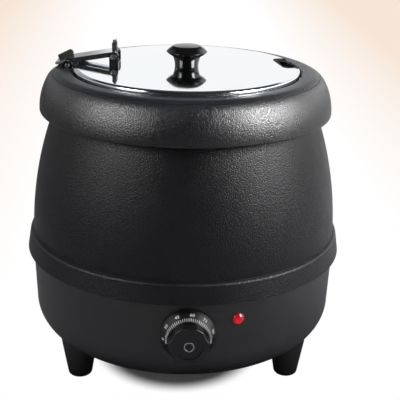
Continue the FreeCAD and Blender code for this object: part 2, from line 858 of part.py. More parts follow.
def cord_gland():
    seat = base_wall_r(gland_z) + gland_wall_gap
    hex_top = seat + gland_hex_height
    top = hex_top + gland_dome_height
    dome = spun(section([
        line(rz(0, hex_top), rz(gland_dome_r, hex_top)),
        line(rz(gland_dome_r, hex_top), rz(gland_dome_r, top - gland_dome_rounding)),
        arc(rz(gland_dome_r - gland_dome_rounding, top - gland_dome_rounding), gland_dome_rounding, 0, 90),
        line(rz(gland_dome_r - gland_dome_rounding, top), rz(0, top))]))
    thread_low = base_wall_r(gland_z) - gland_thread_length
    body = hexagon(gland_flats, seat, hex_top).fuse([dome, rod(gland_thread_r, thread_low, seat)])
    return outward(body.cut(rod(gland_bore_r, 0, top)).removeSplitter(), 90, gland_z)


def gland_nut():
    top = base_wall_r(gland_z) - base_wall - wall_seat_gap
    nut = hexagon(gland_flats, top - gland_nut_height, top)
    return outward(nut.cut(rod(gland_thread_r + screw_clearance, 0, top)), 90, gland_z)


block_front = base_opening_r + block_inset - block_depth / 2
block_top = base_floor_z + block_height


def terminal_block():
    body = block((-block_width / 2, block_width / 2), (block_front, block_front + block_depth),
                 (base_floor_z, block_top))
    half = block_slot_width / 2
    slots = [block((x - half, x + half), (block_front, block_front + block_depth / 3),
                   (block_top - block_slot_depth, block_top))
             for x in (-block_slot_pitch, 0, block_slot_pitch)]
    return body.cut(slots)


def wiring():
    """Leads from block to element, from block to thermostat, and from lamp to thermostat."""
    pin_z = element_z + element_thickness / 2
    rise_y = block_front + 0.7 * block_depth
    wires = [wire_tube([(x, rise_y, block_top), (x, rise_y, pin_z),
                        (x, element_outer_r + element_pin_length, pin_z)], wire_r, wire_bend)
             for x in (-element_pin_offset, element_pin_offset)]
    side = 0.3 * thermostat_width
    floor_z = base_floor_z + wire_r + wire_floor_gap
    back_y = -(thermostat_front - capillary_inset)
    wires.append(wire_tube([(side, block_front, floor_z), (side, back_y + wire_rise_run, floor_z),
                            (side, back_y, floor_z + wire_rise), (side, back_y, thermostat_base_z)],
                           wire_r, wire_bend))
    lamp_end = lamp_seat - lamp_body_length
    turn_r = lamp_end - 2 * wire_bend
    c, s = cos(radians(lamp_azimuth)), sin(radians(lamp_azimuth))
    top_z = dial_z + thermostat_height / 4
    level = -(thermostat_back - 1.3 * wire_bend)
    wires.append(wire_tube([(lamp_end * c, lamp_end * s, lamp_z), (turn_r * c, turn_r * s, lamp_z),
                            (side, level, top_z), (side, -thermostat_back, top_z)],
                           wire_r, wire_bend / 2))
    return Part.makeCompound(wires)


def notch_prism(inset, low, high):
    """Rounded ladle notch, open toward the lid's edge."""
    half = notch_width / 2 - inset
    prism = block((notch_inner_r + inset, lid_r + notch_corner), (-half, half), (low, high))
    corners = [e for e in prism.Edges
               if abs(e.Curve.Direction.z) > 0.9 and e.BoundBox.XMax < notch_inner_r + inset + 1]
    return turned(prism.makeFillet(notch_corner - inset, corners), notch_azimuth)


def lid():
    """Sheet lid: flat top, narrow sloping band and turned-down skirt, with the ladle notch."""
    t, e = lid_sheet, lid_edge_rounding
    bend = rz(lid_r - e, lid_edge_z - e)
    edges = [line(rz(0, lid_top_z - t), rz(lid_dish_r, lid_top_z - t)),
             line(rz(lid_dish_r, lid_top_z - t), rz(lid_r - e, lid_edge_z - t)),
             arc(bend, e - t, 90, 0),
             line(rz(lid_r - t, lid_edge_z - e), rz(lid_r - t, lid_skirt_z)),
             line(rz(lid_r - t, lid_skirt_z), rz(lid_r, lid_skirt_z)),
             line(rz(lid_r, lid_skirt_z), rz(lid_r, lid_edge_z - e)),
             arc(bend, e, 0, 90),
             line(rz(lid_r - e, lid_edge_z), rz(lid_dish_r, lid_top_z)),
             line(rz(lid_dish_r, lid_top_z), rz(0, lid_top_z))]
    holes = [rod(knob_screw_r + screw_clearance, lid_skirt_z, lid_top_z)]
    holes += [at_hinge(moved(rod(rivet_r + screw_clearance, lid_skirt_z, lid_top_z), bracket_r, y))
              for y in (-rivet_y, rivet_y)]
    body = spun(section(edges)).cut(notch_prism(0, lid_skirt_z - t, lid_top_z + t))
    return body.cut(holes)


def notch_guard():
    low, high = lid_edge_z - guard_under, lid_top_z + guard_over
    frame = notch_prism(0, low, high).cut(notch_prism(guard_wall, low, high))
    return frame.common(rod(lid_r - lid_sheet / 2, low, high))


def bulged(a, b, depth):
    """Middle of two points of a section, moved to the right of the way from one to the other."""
    way = b - a
    aside = FreeCAD.Vector(way.z, 0, -way.x)
    return (a + b) / 2 + aside * (depth / way.Length)


def lid_knob():
    z = lid_top_z
    neck, flare = rz(knob_neck_r, z), rz(knob_flare_r, z + knob_flare_height)
    cap, top = rz(knob_cap_r, z + knob_cap_height), rz(knob_top_r, z + knob_height - knob_crown)
    waist = rz(knob_neck_r + 0.6, z + knob_flare_height / 2)
    body = spun(section([
        line(rz(0, z), neck),
        arc_through(neck, waist, flare),
        arc_through(flare, bulged(flare, cap, knob_bulge), cap),
        arc_through(cap, bulged(cap, top, knob_bulge), top),
        line(top, rz(0, z + knob_height))]))
    return body.cut(rod(knob_screw_r + screw_clearance, z, z + knob_screw_length - lid_sheet))


def knob_washer():
    top = lid_top_z - lid_sheet
    return tube(knob_washer_r, knob_screw_r + screw_clearance, top - knob_washer_thickness, top)


def knob_screw():
    low = lid_top_z - lid_sheet - knob_washer_thickness
    head = rod(knob_head_r, low - knob_head_height, low)
    return head.fuse(rod(knob_screw_r, low, lid_top_z + knob_screw_length - 2 * lid_sheet))


def strap_point(along, offset, slope=strap_slope):
    """Point beside the pivot: along the strap toward the lid's centre, and above the pivot."""
    c, s = cos(radians(slope)), sin(radians(slope))
    return rz(pivot_r - along * c + offset * s, pivot_z + along * s + offset * c)


def tail_point(along, offset):
    """Point on the strap's tail, bent down behind the pivot."""
    return strap_point(-along, offset, tail_slope)


def across(face, start, end):
    """Extrude a face of the hinge's side view across the hinge."""
    return moved(face.extrude(FreeCAD.Vector(0, end - start, 0)), 0, start)


def strap_bar(low, tail_low, high, y_start, y_end):
    """Bar of the strap from the tail's tip, over the bend at the pivot, to its far end."""
    corners = [tail_point(strap_tail, tail_low), tail_point(0, low), strap_point(0, low),
               strap_point(strap_reach, low), strap_point(strap_reach, high), strap_point(0, high),
               tail_point(0, high), tail_point(strap_tail, high)]
    return across(polygon(corners), y_start, y_end)


strap_top = knuckle_r + strap_sheet
bolt_z = lid_top_z + bolt_height


def strap_tab(wall, height):
    """Upright tab at the strap's far end, or a grip round it with a wall and a height."""
    low = strap_top if wall else strap_top - strap_sheet / 2
    foot, end = (strap_point(strap_reach - strap_tab_sheet - wall, low), strap_point(strap_reach + wall, low))
    side = polygon([foot, end, rz(end.x, end.z + height), rz(foot.x, end.z + height)])
    return across(side, -strap_tab_half - wall, strap_tab_half + wall)


def strap_grip():
    return at_hinge(strap_tab(grip_wall, grip_height).cut(strap_tab(0, strap_tab_height)))


def hinge_strap():
    """Strap with turned-down sides, lugs for the cross bolt and a turned-up end."""
    half, sheet = strap_half, strap_sheet
    body = strap_bar(knuckle_r, knuckle_r, strap_top, -half, half)
    top = strap_point((pivot_r - bracket_r) / cos(radians(strap_slope)), knuckle_r)
    for side in (-half, half - sheet):
        flange = strap_bar(strap_top - strap_flange, strap_top - tail_flange, strap_top, side, side + sheet)
        web = across(polygon([rz(bracket_r - lug_r, bolt_z), rz(bracket_r + lug_r, bolt_z),
                              rz(bracket_r + lug_r, top.z), rz(bracket_r - lug_r, top.z)]),
                     side, side + sheet)
        body = body.fuse([flange, web, cross_rod(lug_r, bracket_r, bolt_z, side, side + sheet)])
    body = body.fuse(strap_tab(0, strap_tab_height))
    cuts = [cross_rod(knuckle_r, pivot_r, pivot_z, -half, half),
            cross_rod(bolt_r + screw_clearance, bracket_r, bolt_z, -half, half)]
    return at_hinge(body.cut(cuts).removeSplitter())


def hinge_knuckle():
    body = cross_rod(knuckle_r, pivot_r, pivot_z, -knuckle_half, knuckle_half)
    bore = cross_rod(pin_r + running_fit, pivot_r, pivot_z, -knuckle_half, knuckle_half)
    return at_hinge(body.cut(bore))


def hinge_stop():
    """Wedge on the far side of the strap's tail."""
    side = polygon([tail_point(stop_outer, strap_top), tail_point(0, strap_top), strap_point(0, strap_top),
                    strap_point(stop_inner, strap_top),
                    strap_point(stop_inner, strap_top + stop_high - stop_chamfer),
                    strap_point(stop_inner - stop_chamfer, strap_top + stop_high),
                    tail_point(stop_outer, strap_top + stop_low)])
    return at_hinge(across(side, -strap_half, stop_width - strap_half))


def hinge_pin():
    pin = cross_rod(pin_r, pivot_r, pivot_z, -ear_outer, ear_outer)
    depth = pivot_thread_length + 0.5
    holes = [cross_rod(pivot_thread_r + screw_clearance, pivot_r, pivot_z, ear_outer - depth, ear_outer),
             cross_rod(pivot_thread_r + screw_clearance, pivot_r, pivot_z, -ear_outer, depth - ear_outer)]
    return at_hinge(pin.cut(holes))


def hinge_bush(start):
    end = start + ear_outer - ear_inner
    bush = cross_rod(bush_r, pivot_r, pivot_z, start, end)
    return at_hinge(bush.cut(cross_rod(pin_r + running_fit, pivot_r, pivot_z, start, end)))


def pivot_screws():
    screw = cross_rod(pivot_thread_r, pivot_r, pivot_z, ear_outer - pivot_thread_length, ear_outer)
    screw = screw.fuse(cross_rod(pivot_head_r, pivot_r, pivot_z, ear_outer, ear_outer + pivot_head_height))
    mirror = screw.mirror(ORIGIN, Y_AXIS)
    return Part.makeCompound([at_hinge(screw), at_hinge(mirror)])


bracket_inner = strap_half + bracket_gap
bracket_outer = bracket_inner + bracket_sheet


def lid_bracket():
    """Clevis riveted to the lid, its ears outside the strap's lugs."""
    x = (bracket_r - bracket_half_length, bracket_r + bracket_half_length)
    body = block(x, (-bracket_outer, bracket_outer), (lid_top_z, lid_top_z + bracket_foot_sheet))
    for side in (-bracket_outer, bracket_inner):
        ends = (side, side + bracket_sheet)
        body = body.fuse([block(x, ends, (lid_top_z, bolt_z)),
                          cross_rod(bracket_half_length, bracket_r, bolt_z, *ends)])
    cuts = [cross_rod(bolt_r + screw_clearance, bracket_r, bolt_z, -bracket_outer, bracket_outer)]
    cuts += [moved(rod(rivet_r + screw_clearance, lid_top_z, bolt_z), bracket_r, y)
             for y in (-rivet_y, rivet_y)]
    return at_hinge(body.cut(cuts).removeSplitter())


def bracket_rivets():
    low, high = lid_top_z - lid_sheet, lid_top_z + bracket_foot_sheet
    rivet = rod(rivet_r, low, high).fuse([rod(rivet_head_r, high, high + rivet_head_height),
                                          rod(rivet_head_r, low - rivet_head_height, low)])
    return Part.makeCompound([at_hinge(moved(rivet, bracket_r, y)) for y in (-rivet_y, rivet_y)])


def bracket_bolt():
    shank = cross_rod(bolt_r, bracket_r, bolt_z, -bracket_outer - bolt_nut_height - 1, bracket_outer)
    head = cross_rod(bolt_head_r, bracket_r, bolt_z, bracket_outer, bracket_outer + bolt_head_height)
    return at_hinge(shank.fuse(head))


def bracket_nut():
    nut = hexagon(bolt_nut_flats, 0, bolt_nut_height).cut(
        rod(bolt_r + screw_clearance, 0, bolt_nut_height))
    nut.rotate(ORIGIN, X_AXIS, 90)
    return at_hinge(moved(nut, bracket_r, -bracket_outer, bolt_z))


NODES = {
    "base_shell": base_shell(),
    "bottom_plate": bottom_plate(),
    "bottom_screws": bottom_screws(),
    **{name: foot(azimuth) for name, azimuth in foot_azimuths.items()},
    "foot_screws": foot_screws(),
    "barrel": barrel(),
    "collar": collar(),
    "rim_ring": rim_ring(),
    "water_pan": water_pan(),
    "pot": pot(),
    "heating_element": heating_element(),
    "element_plate": element_plate(),
    "pan_stud": pan_stud(),
    "stud_nut": stud_nut(),
    "tie_rods": tie_rods(),
    "tie_nuts": tie_nuts(),
    "thermal_cutout": thermal_cutout(),
    "thermostat_body": thermostat_body(),
    "thermostat_screws": thermostat_screws(),
    "sensor_bulb": sensor_bulb(),
    "bulb_clip": bulb_clip(),
    "capillary_tube": capillary_tube(),
    "pilot_lamp_lens": pilot_lamp_lens(),
    "pilot_lamp_body": pilot_lamp_body(),
    "lamp_nut": lamp_nut(),
    "terminal_block": terminal_block(),
    "wiring": wiring(),
    "cord_gland": cord_gland(),
    "gland_nut": gland_nut(),
    "hinge_pin": hinge_pin(),
    "hinge_bush_front": hinge_bush(ear_inner),
    "hinge_bush_rear": hinge_bush(-ear_outer),
    "pivot_screws": pivot_screws(),
    "lid": lid(),
    "notch_guard": notch_guard(),
    "lid_knob": lid_knob(),
    "knob_washer": knob_washer(),
    "knob_screw": knob_screw(),
    "lid_bracket": lid_bracket(),
    "bracket_rivets": bracket_rivets(),
    "bracket_bolt": bracket_bolt(),
    "bracket_nut": bracket_nut(),
    "hinge_strap": hinge_strap(),
    "strap_grip": strap_grip(),
    "hinge_knuckle": hinge_knuckle(),
    "hinge_stop": hinge_stop(),
    "dial": dial(),
    "dial_ring": dial_ring(),
    "dial_shaft": dial_shaft(),
}

os.makedirs("parts", exist_ok=True)
for name, shape in NODES.items():
    shape.exportStep(f"parts/{name}.step")
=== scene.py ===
"""Round black soup kettle with a hinged steel lid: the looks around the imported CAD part.

The classes hold sizes in millimetres. The scene is in metres, +Z up, with the front at -Y.
"""
import json
import logging
from dataclasses import dataclass
from enum import Enum
from functools import lru_cache
from math import atan2, cos, degrees, hypot, pi, radians, sin

import bmesh
import bpy
from bmesh.types import BMEdge, BMesh, BMVert
from bpy.types import ID, Material, Mesh, Node, NodeSocket, NodeTree, Object, World
from mathutils import Matrix, Vector


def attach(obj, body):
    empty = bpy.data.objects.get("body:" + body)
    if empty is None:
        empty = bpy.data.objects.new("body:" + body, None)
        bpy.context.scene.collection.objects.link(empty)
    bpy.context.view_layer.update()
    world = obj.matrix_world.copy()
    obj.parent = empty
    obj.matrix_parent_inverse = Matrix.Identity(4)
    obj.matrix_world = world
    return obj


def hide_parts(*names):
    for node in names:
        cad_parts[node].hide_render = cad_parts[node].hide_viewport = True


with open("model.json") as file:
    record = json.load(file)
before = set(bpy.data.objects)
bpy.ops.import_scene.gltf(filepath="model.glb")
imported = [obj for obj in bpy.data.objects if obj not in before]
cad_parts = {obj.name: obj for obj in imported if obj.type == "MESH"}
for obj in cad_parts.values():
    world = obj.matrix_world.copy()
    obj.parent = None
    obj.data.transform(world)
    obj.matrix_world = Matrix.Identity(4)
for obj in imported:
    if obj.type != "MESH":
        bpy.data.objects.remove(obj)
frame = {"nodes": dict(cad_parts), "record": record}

log = logging.getLogger("soup_kettle")

Point = tuple[float, float]
Spot = tuple[float, float, float]
Colour = tuple[float, float, float, float]

MM = 0.001
# Steps round a turned piece, and round a small one
SEGMENTS = 256
SMALL_SEGMENTS = 64
# Metres within which two vertices are one
MERGE = 2e-6
# Edges that bend more than this are shaded sharp, and are the ones to round off
SHARP_ANGLE = radians(33)
# CAD triangles that bend less than this lie in one face
FLAT_ANGLE = radians(1)
BEVEL_PROFILE = 0.5
# Millimetres that keep the faces of a cutting tool out of the planes of the piece it cuts
SLACK = 0.03

WHITE: Colour = (1, 1, 1, 1)
LEAST_ROUGHNESS = 0.02
COAT_ROUGHNESS = 0.08
# The slow noise that bends the creases of a leather grain: its scale and its reach in grains
CREASE_SCALE = 0.6
CREASE_REACH = 0.8
# How many times as long as wide a brushed scratch is
SCRATCH_LENGTH = 40


class Grain(Enum):
    """Surface pattern of a finish."""

    PLAIN = "plain"
    LEATHER = "leather"
    SPARK = "spark"
    BRUSHED = "brushed"
    CAST = "cast"


class Tooling(Enum):
    """What a tool mesh does to a piece, by Blender's name for it."""

    CUT = "DIFFERENCE"
    JOIN = "UNION"
    TRIM = "INTERSECT"


def linear(colour: str) -> Colour:
    """Turn an sRGB hex colour into linear light.

    Args:
        colour: Six hex digits after a hash sign.

    Returns:
        Red, green, blue and an opaque alpha.
    """
    channels = [int(colour[i:i + 2], 16) / 255 for i in (1, 3, 5)]
    red, green, blue = (c / 12.92 if c <= 0.04045 else ((c + 0.055) / 1.055) ** 2.4
                        for c in channels)
    return red, green, blue, 1.0


def blank(owner: Material | World) -> NodeTree:
    """Turn on the nodes of a material or the world, and clear them.

    Args:
        owner: The material or the world.

    Returns:
        Its empty node tree.
    """
    owner.use_nodes = True
    owner.node_tree.nodes.clear()
    return owner.node_tree


def add(tree: NodeTree, kind: str, settings: dict | None = None, links: dict | None = None) -> Node:
    """Add one node with its settings and links.

    Args:
        tree: Node tree that takes the node.
        kind: Blender's name for the node type.
        settings: Values of inputs, by name or place, or of the node's own properties.
        links: Output sockets that feed inputs, by name or place.

    Returns:
        The new node.
    """
    node = tree.nodes.new(kind)
    for name, value in (settings or {}).items():
        if isinstance(name, int) or name in node.inputs:
            node.inputs[name].default_value = value
        else:
            setattr(node, name, value)
    for name, source in (links or {}).items():
        tree.links.new(source, node.inputs[name])
    return node


@dataclass(frozen=True)
class Finish:
    """One real material and how its surface was made.

    Grain size and depth are millimetres. Mottle is how far roughness wanders over the surface,
    and tint how far the colour does.
    """

    name: str
    colour: str
    roughness: float
    metallic: float = 0.0
    ior: float = 1.5
    coat: float = 0.0
    glow: float = 0.0
    grain: Grain = Grain.PLAIN
    grain_mm: float = 1.0
    depth_mm: float = 0.02
    mottle: float = 0.04
    mottle_mm: float = 18.0
    tint: float = 0.06

    @lru_cache(maxsize=None)
    def material(self) -> Material:
        """Build the material once and hand out the same one after that.

        Returns:
            The material.
        """
        material = bpy.data.materials.new(self.name)
        tree = blank(material)
        place = add(tree, "ShaderNodeTexCoord").outputs["Object"]
        shader = add(tree, "ShaderNodeBsdfPrincipled", {
            "Metallic": self.metallic, "Coat Weight": self.coat, "Coat Roughness": COAT_ROUGHNESS,
            "Emission Strength": self.glow, "Emission Color": linear(self.colour)})
        if not self.metallic:
            shader.inputs["IOR"].default_value = self.ior
        self._colour(tree, place, shader)
        height = self._height(tree, place)
        if height:
            bump = add(tree, "ShaderNodeBump", {"Strength": 1.0, "Distance": self.depth_mm * MM},
                       {"Height": height})
            tree.links.new(bump.outputs["Normal"], shader.inputs["Normal"])
        add(tree, "ShaderNodeOutputMaterial", links={"Surface": shader.outputs["BSDF"]})
        return material

    def _colour(self, tree: NodeTree, place: NodeSocket, shader: Node) -> None:
        """Let colour and roughness wander slowly over the surface.

        Args:
            tree: The material's nodes.
            place: Object coordinates.
            shader: The surface shader to feed.
        """
        cloud = add(tree, "ShaderNodeTexNoise", {
            "Scale": 1 / (self.mottle_mm * MM), "Detail": 4.0, "Roughness": 0.6},
            {"Vector": place}).outputs["Fac"]
        rough = add(tree, "ShaderNodeMapRange", {
            "From Min": 0.3, "From Max": 0.7,
            "To Min": max(LEAST_ROUGHNESS, self.roughness - self.mottle),
            "To Max": self.roughness + self.mottle}, {"Value": cloud})
        tree.links.new(rough.outputs["Result"], shader.inputs["Roughness"])
        dark, light = ((*(min(1, c * share) for c in linear(self.colour)[:3]), 1)
                       for share in (1 - self.tint, 1 + self.tint))
        colour = add(tree, "ShaderNodeMix", {"data_type": "RGBA", 6: dark, 7: light},
                     {"Factor": cloud})
        tree.links.new(colour.outputs[2], shader.inputs["Base Color"])

    def _height(self, tree: NodeTree, place: NodeSocket) -> NodeSocket | None:
        """Draw the surface's relief at its real size.

        Args:
            tree: The material's nodes.
            place: Object coordinates.

        Returns:
            The height from zero to one, or nothing on a plain surface.
        """
        scale = 1 / (self.grain_mm * MM)
        if self.grain is Grain.LEATHER:
            # Pebbles between fine creases, their outlines bent by a slower noise
            bend = add(tree, "ShaderNodeTexNoise", {"Scale": scale * CREASE_SCALE, "Detail": 2.0},
                       {"Vector": place})
            shifted = add(tree, "ShaderNodeVectorMath", {
                "operation": "MULTIPLY_ADD", 1: (CREASE_REACH / scale,) * 3},
                {0: bend.outputs["Color"], 2: place})
            cells = add(tree, "ShaderNodeTexVoronoi", {
                "feature": "SMOOTH_F1", "Scale": scale, "Smoothness": 0.35},
                {"Vector": shifted.outputs["Vector"]})
            return add(tree, "ShaderNodeMapRange", {
                "From Min": 0.15, "From Max": 0.75, "To Min": 1.0, "To Max": 0.0},
                {"Value": cells.outputs["Distance"]}).outputs["Result"]
        if self.grain is Grain.BRUSHED:
            # Scratches along X, drawn wider than real ones so that they show
            drawn = add(tree, "ShaderNodeMapping", {
                "Scale": (scale / SCRATCH_LENGTH, scale, scale)}, {"Vector": place})
            return add(tree, "ShaderNodeTexNoise", {"Scale": 1.0, "Detail": 3.0},
                       {"Vector": drawn.outputs["Vector"]}).outputs["Fac"]
        if self.grain in (Grain.SPARK, Grain.CAST):
            return add(tree, "ShaderNodeTexNoise", {
                "Scale": scale, "Detail": 3.0, "Roughness": 0.55}, {"Vector": place}).outputs["Fac"]
        return None


# Powder coat over steel, pressed with a leather grain: soft highlights broken into small pebbles
GRAINED_COAT = Finish("powder_coated_steel_leather_grain", "#15161a", 0.34, ior=1.34,
                      grain=Grain.LEATHER, grain_mm=1.2, depth_mm=0.20)
# ABS moulded with the same leather grain, a little smoother than the coat on the barrel
GRAINED_ABS = Finish("abs_moulded_leather_grain", "#121318", 0.30, ior=1.68,
                     grain=Grain.LEATHER, grain_mm=1.2, depth_mm=0.18)
# ABS from a spark-eroded tool: an even satin sheen
SATIN_ABS = Finish("abs_moulded_satin", "#14151a", 0.36, ior=1.74, grain=Grain.SPARK, grain_mm=0.9)
# ABS from a polished tool: sharp reflections, slightly wavy from shrinkage
GLOSS_ABS = Finish("abs_moulded_gloss", "#0c0c0d", 0.12, grain=Grain.SPARK, grain_mm=14.0,
                   depth_mm=0.03, mottle=0.03)
# Phenolic resin, pressed and polished: deep black with a hard gloss
PHENOLIC = Finish("phenolic_resin_polished", "#0a0a0b", 0.13, ior=1.42, mottle=0.03)
# The same resin left satin from the tool: a soft grey sheen
SATIN_PHENOLIC = Finish("phenolic_resin_satin", "#131417", 0.30, grain=Grain.SPARK, grain_mm=0.8,
                        depth_mm=0.015)
# Nylon feet, moulded satin, scuffed a little duller in places
FOOT_NYLON = Finish("nylon_moulded_satin", "#1b1b1e", 0.42, grain=Grain.SPARK, grain_mm=0.9,
                    mottle=0.08)
# Rubber and nylon trim: matte, with hardly any highlight
RUBBER = Finish("epdm_rubber_moulded", "#101011", 0.58, grain=Grain.SPARK, grain_mm=0.6)
# Steel with a thin black dip coat: satin, slightly uneven
DIPPED_STEEL = Finish("steel_black_dip_coat", "#0f0f10", 0.34, grain=Grain.SPARK, grain_mm=2.0)
# Stainless steel, mirror polished, with faint polishing marks
POLISHED_STEEL = Finish("stainless_steel_polished", "#f1f4f7", 0.06, 1.0, grain=Grain.BRUSHED,
                        grain_mm=0.8, depth_mm=0.0006, mottle=0.025, mottle_mm=60.0, tint=0.02)
# Stainless steel, drawn and brushed: long soft highlights
BRUSHED_STEEL = Finish("stainless_steel_brushed", "#cfcecb", 0.30, 1.0, grain=Grain.BRUSHED,
                       grain_mm=0.5, depth_mm=0.0008, mottle=0.02, tint=0.02)
# Steel screws with bright zinc plating: small clear glints
ZINC_STEEL = Finish("steel_zinc_plated", "#d0d1d4", 0.24, 1.0, grain=Grain.SPARK, grain_mm=0.7,
                    depth_mm=0.005, mottle_mm=4.0)
# Cast aluminium heater, sandy from the mould
CAST_ALUMINIUM = Finish("aluminium_sand_cast", "#b4b5b7", 0.52, 1.0, grain=Grain.CAST,
                        grain_mm=1.2, depth_mm=0.08)
# Drawn copper tube, slightly tarnished
COPPER = Finish("copper_drawn", "#c58763", 0.32, 1.0, mottle_mm=8.0, tint=0.15)
# Pale phenolic housings inside the base, matte
PALE_PHENOLIC = Finish("phenolic_pale_moulded", "#bdb6a2", 0.55, grain=Grain.SPARK, grain_mm=0.8)
# Silicone sleeves on the leads: soft and dull
SILICONE = Finish("silicone_sleeve_extruded", "#bfb7a9", 0.6, grain=Grain.SPARK, grain_mm=0.6,
                  depth_mm=0.01)
# Red polycarbonate lens with a little light coming through it
RED_LENS = Finish("polycarbonate_red_moulded", "#c81020", 0.16, coat=0.3, glow=0.22, mottle=0.03)
# White pad-printed ink on the dial: flat and dull
PRINT_INK = Finish("pad_printed_ink_white", "#ececea", 0.5, mottle_mm=3.0)

SLOT_FINISH: dict[str, Finish] = {
    "base_black": SATIN_ABS, "grained_black": GRAINED_COAT, "collar_black": GRAINED_ABS,
    "gloss_black": GLOSS_ABS, "foot_black": FOOT_NYLON, "soft_black": RUBBER,
    "black_steel": DIPPED_STEEL, "polished_steel": POLISHED_STEEL, "satin_steel": BRUSHED_STEEL,
    "bright_screw": ZINC_STEEL, "heater_alloy": CAST_ALUMINIUM, "copper_tube": COPPER,
    "inner_plastic": PALE_PHENOLIC, "lamp_red": RED_LENS, "wire_sleeve": SILICONE,
}


def settle(mesh: BMesh) -> BMesh:
    """Merge doubles, drop collapsed faces and loose edges, and point every face outwards.

    Args:
        mesh: The mesh to clean.

    Returns:
        The same mesh.
    """
    bmesh.ops.remove_doubles(mesh, verts=mesh.verts[:], dist=MERGE)
    bmesh.ops.dissolve_degenerate(mesh, dist=MERGE, edges=mesh.edges[:])
    bmesh.ops.delete(mesh, geom=[e for e in mesh.edges if e.is_wire], context="EDGES")
    bmesh.ops.recalc_face_normals(mesh, faces=mesh.faces[:])
    return mesh


def round_off(mesh: BMesh, edges: list[BMEdge], width: float, segments: int,
              clamp: bool = False) -> None:
    """Bevel some edges of a mesh.

    Args:
        mesh: The mesh.
        edges: The edges to round.
        width: Width of the rounding in millimetres.
        segments: Steps across the rounding.
        clamp: Narrow the rounding where two would meet.
    """
    bmesh.ops.bevel(mesh, geom=edges, offset=width * MM, offset_type="OFFSET", affect="EDGES",
                    segments=segments, profile=BEVEL_PROFILE, material=-1, clamp_overlap=clamp)


def soften(mesh: BMesh, width: float, segments: int = 3, split: Point = (0.0, 0.0)) -> BMesh:
    """Round the sharp edges of a closed mesh.

    Args:
        mesh: The mesh to soften.
        width: Width of the rounding in millimetres.
        segments: Steps across the rounding.
        split: Radius and height of the circle that stays sharp, where two pieces meet flush.

    Returns:
        The same mesh.
    """
    r, z = split[0] * MM, split[1] * MM
    edges = [e for e in mesh.edges if e.is_manifold and e.calc_face_angle(0.0) > SHARP_ANGLE
             and any(hypot(v.co.xy.length - r, v.co.z - z) > MERGE for v in e.verts)]
    round_off(mesh, edges, width, segments, clamp=True)
    return mesh


def arc_centre(a: Point, middle: Point, b: Point) -> tuple[Point, float]:
    """Find the circle through three points.

    Args:
        a: First point.
        middle: Point on the arc.
        b: Last point.

    Returns:
        The centre, and the turn from first to last point in degrees.
    """
    (ax, az), (mx, mz), (bx, bz) = a, middle, b
    d = 2 * (ax * (mz - bz) + mx * (bz - az) + bx * (az - mz))
    sa, sm, sb = ax * ax + az * az, mx * mx + mz * mz, bx * bx + bz * bz
    x = (sa * (mz - bz) + sm * (bz - az) + sb * (az - mz)) / d
    z = (sa * (bx - mx) + sm * (ax - bx) + sb * (mx - ax)) / d
    start, end = atan2(az - z, ax - x), atan2(bz - z, bx - x)
    turn = (end - start) % (2 * pi)
    return (x, z), degrees(turn if d > 0 else turn - 2 * pi)


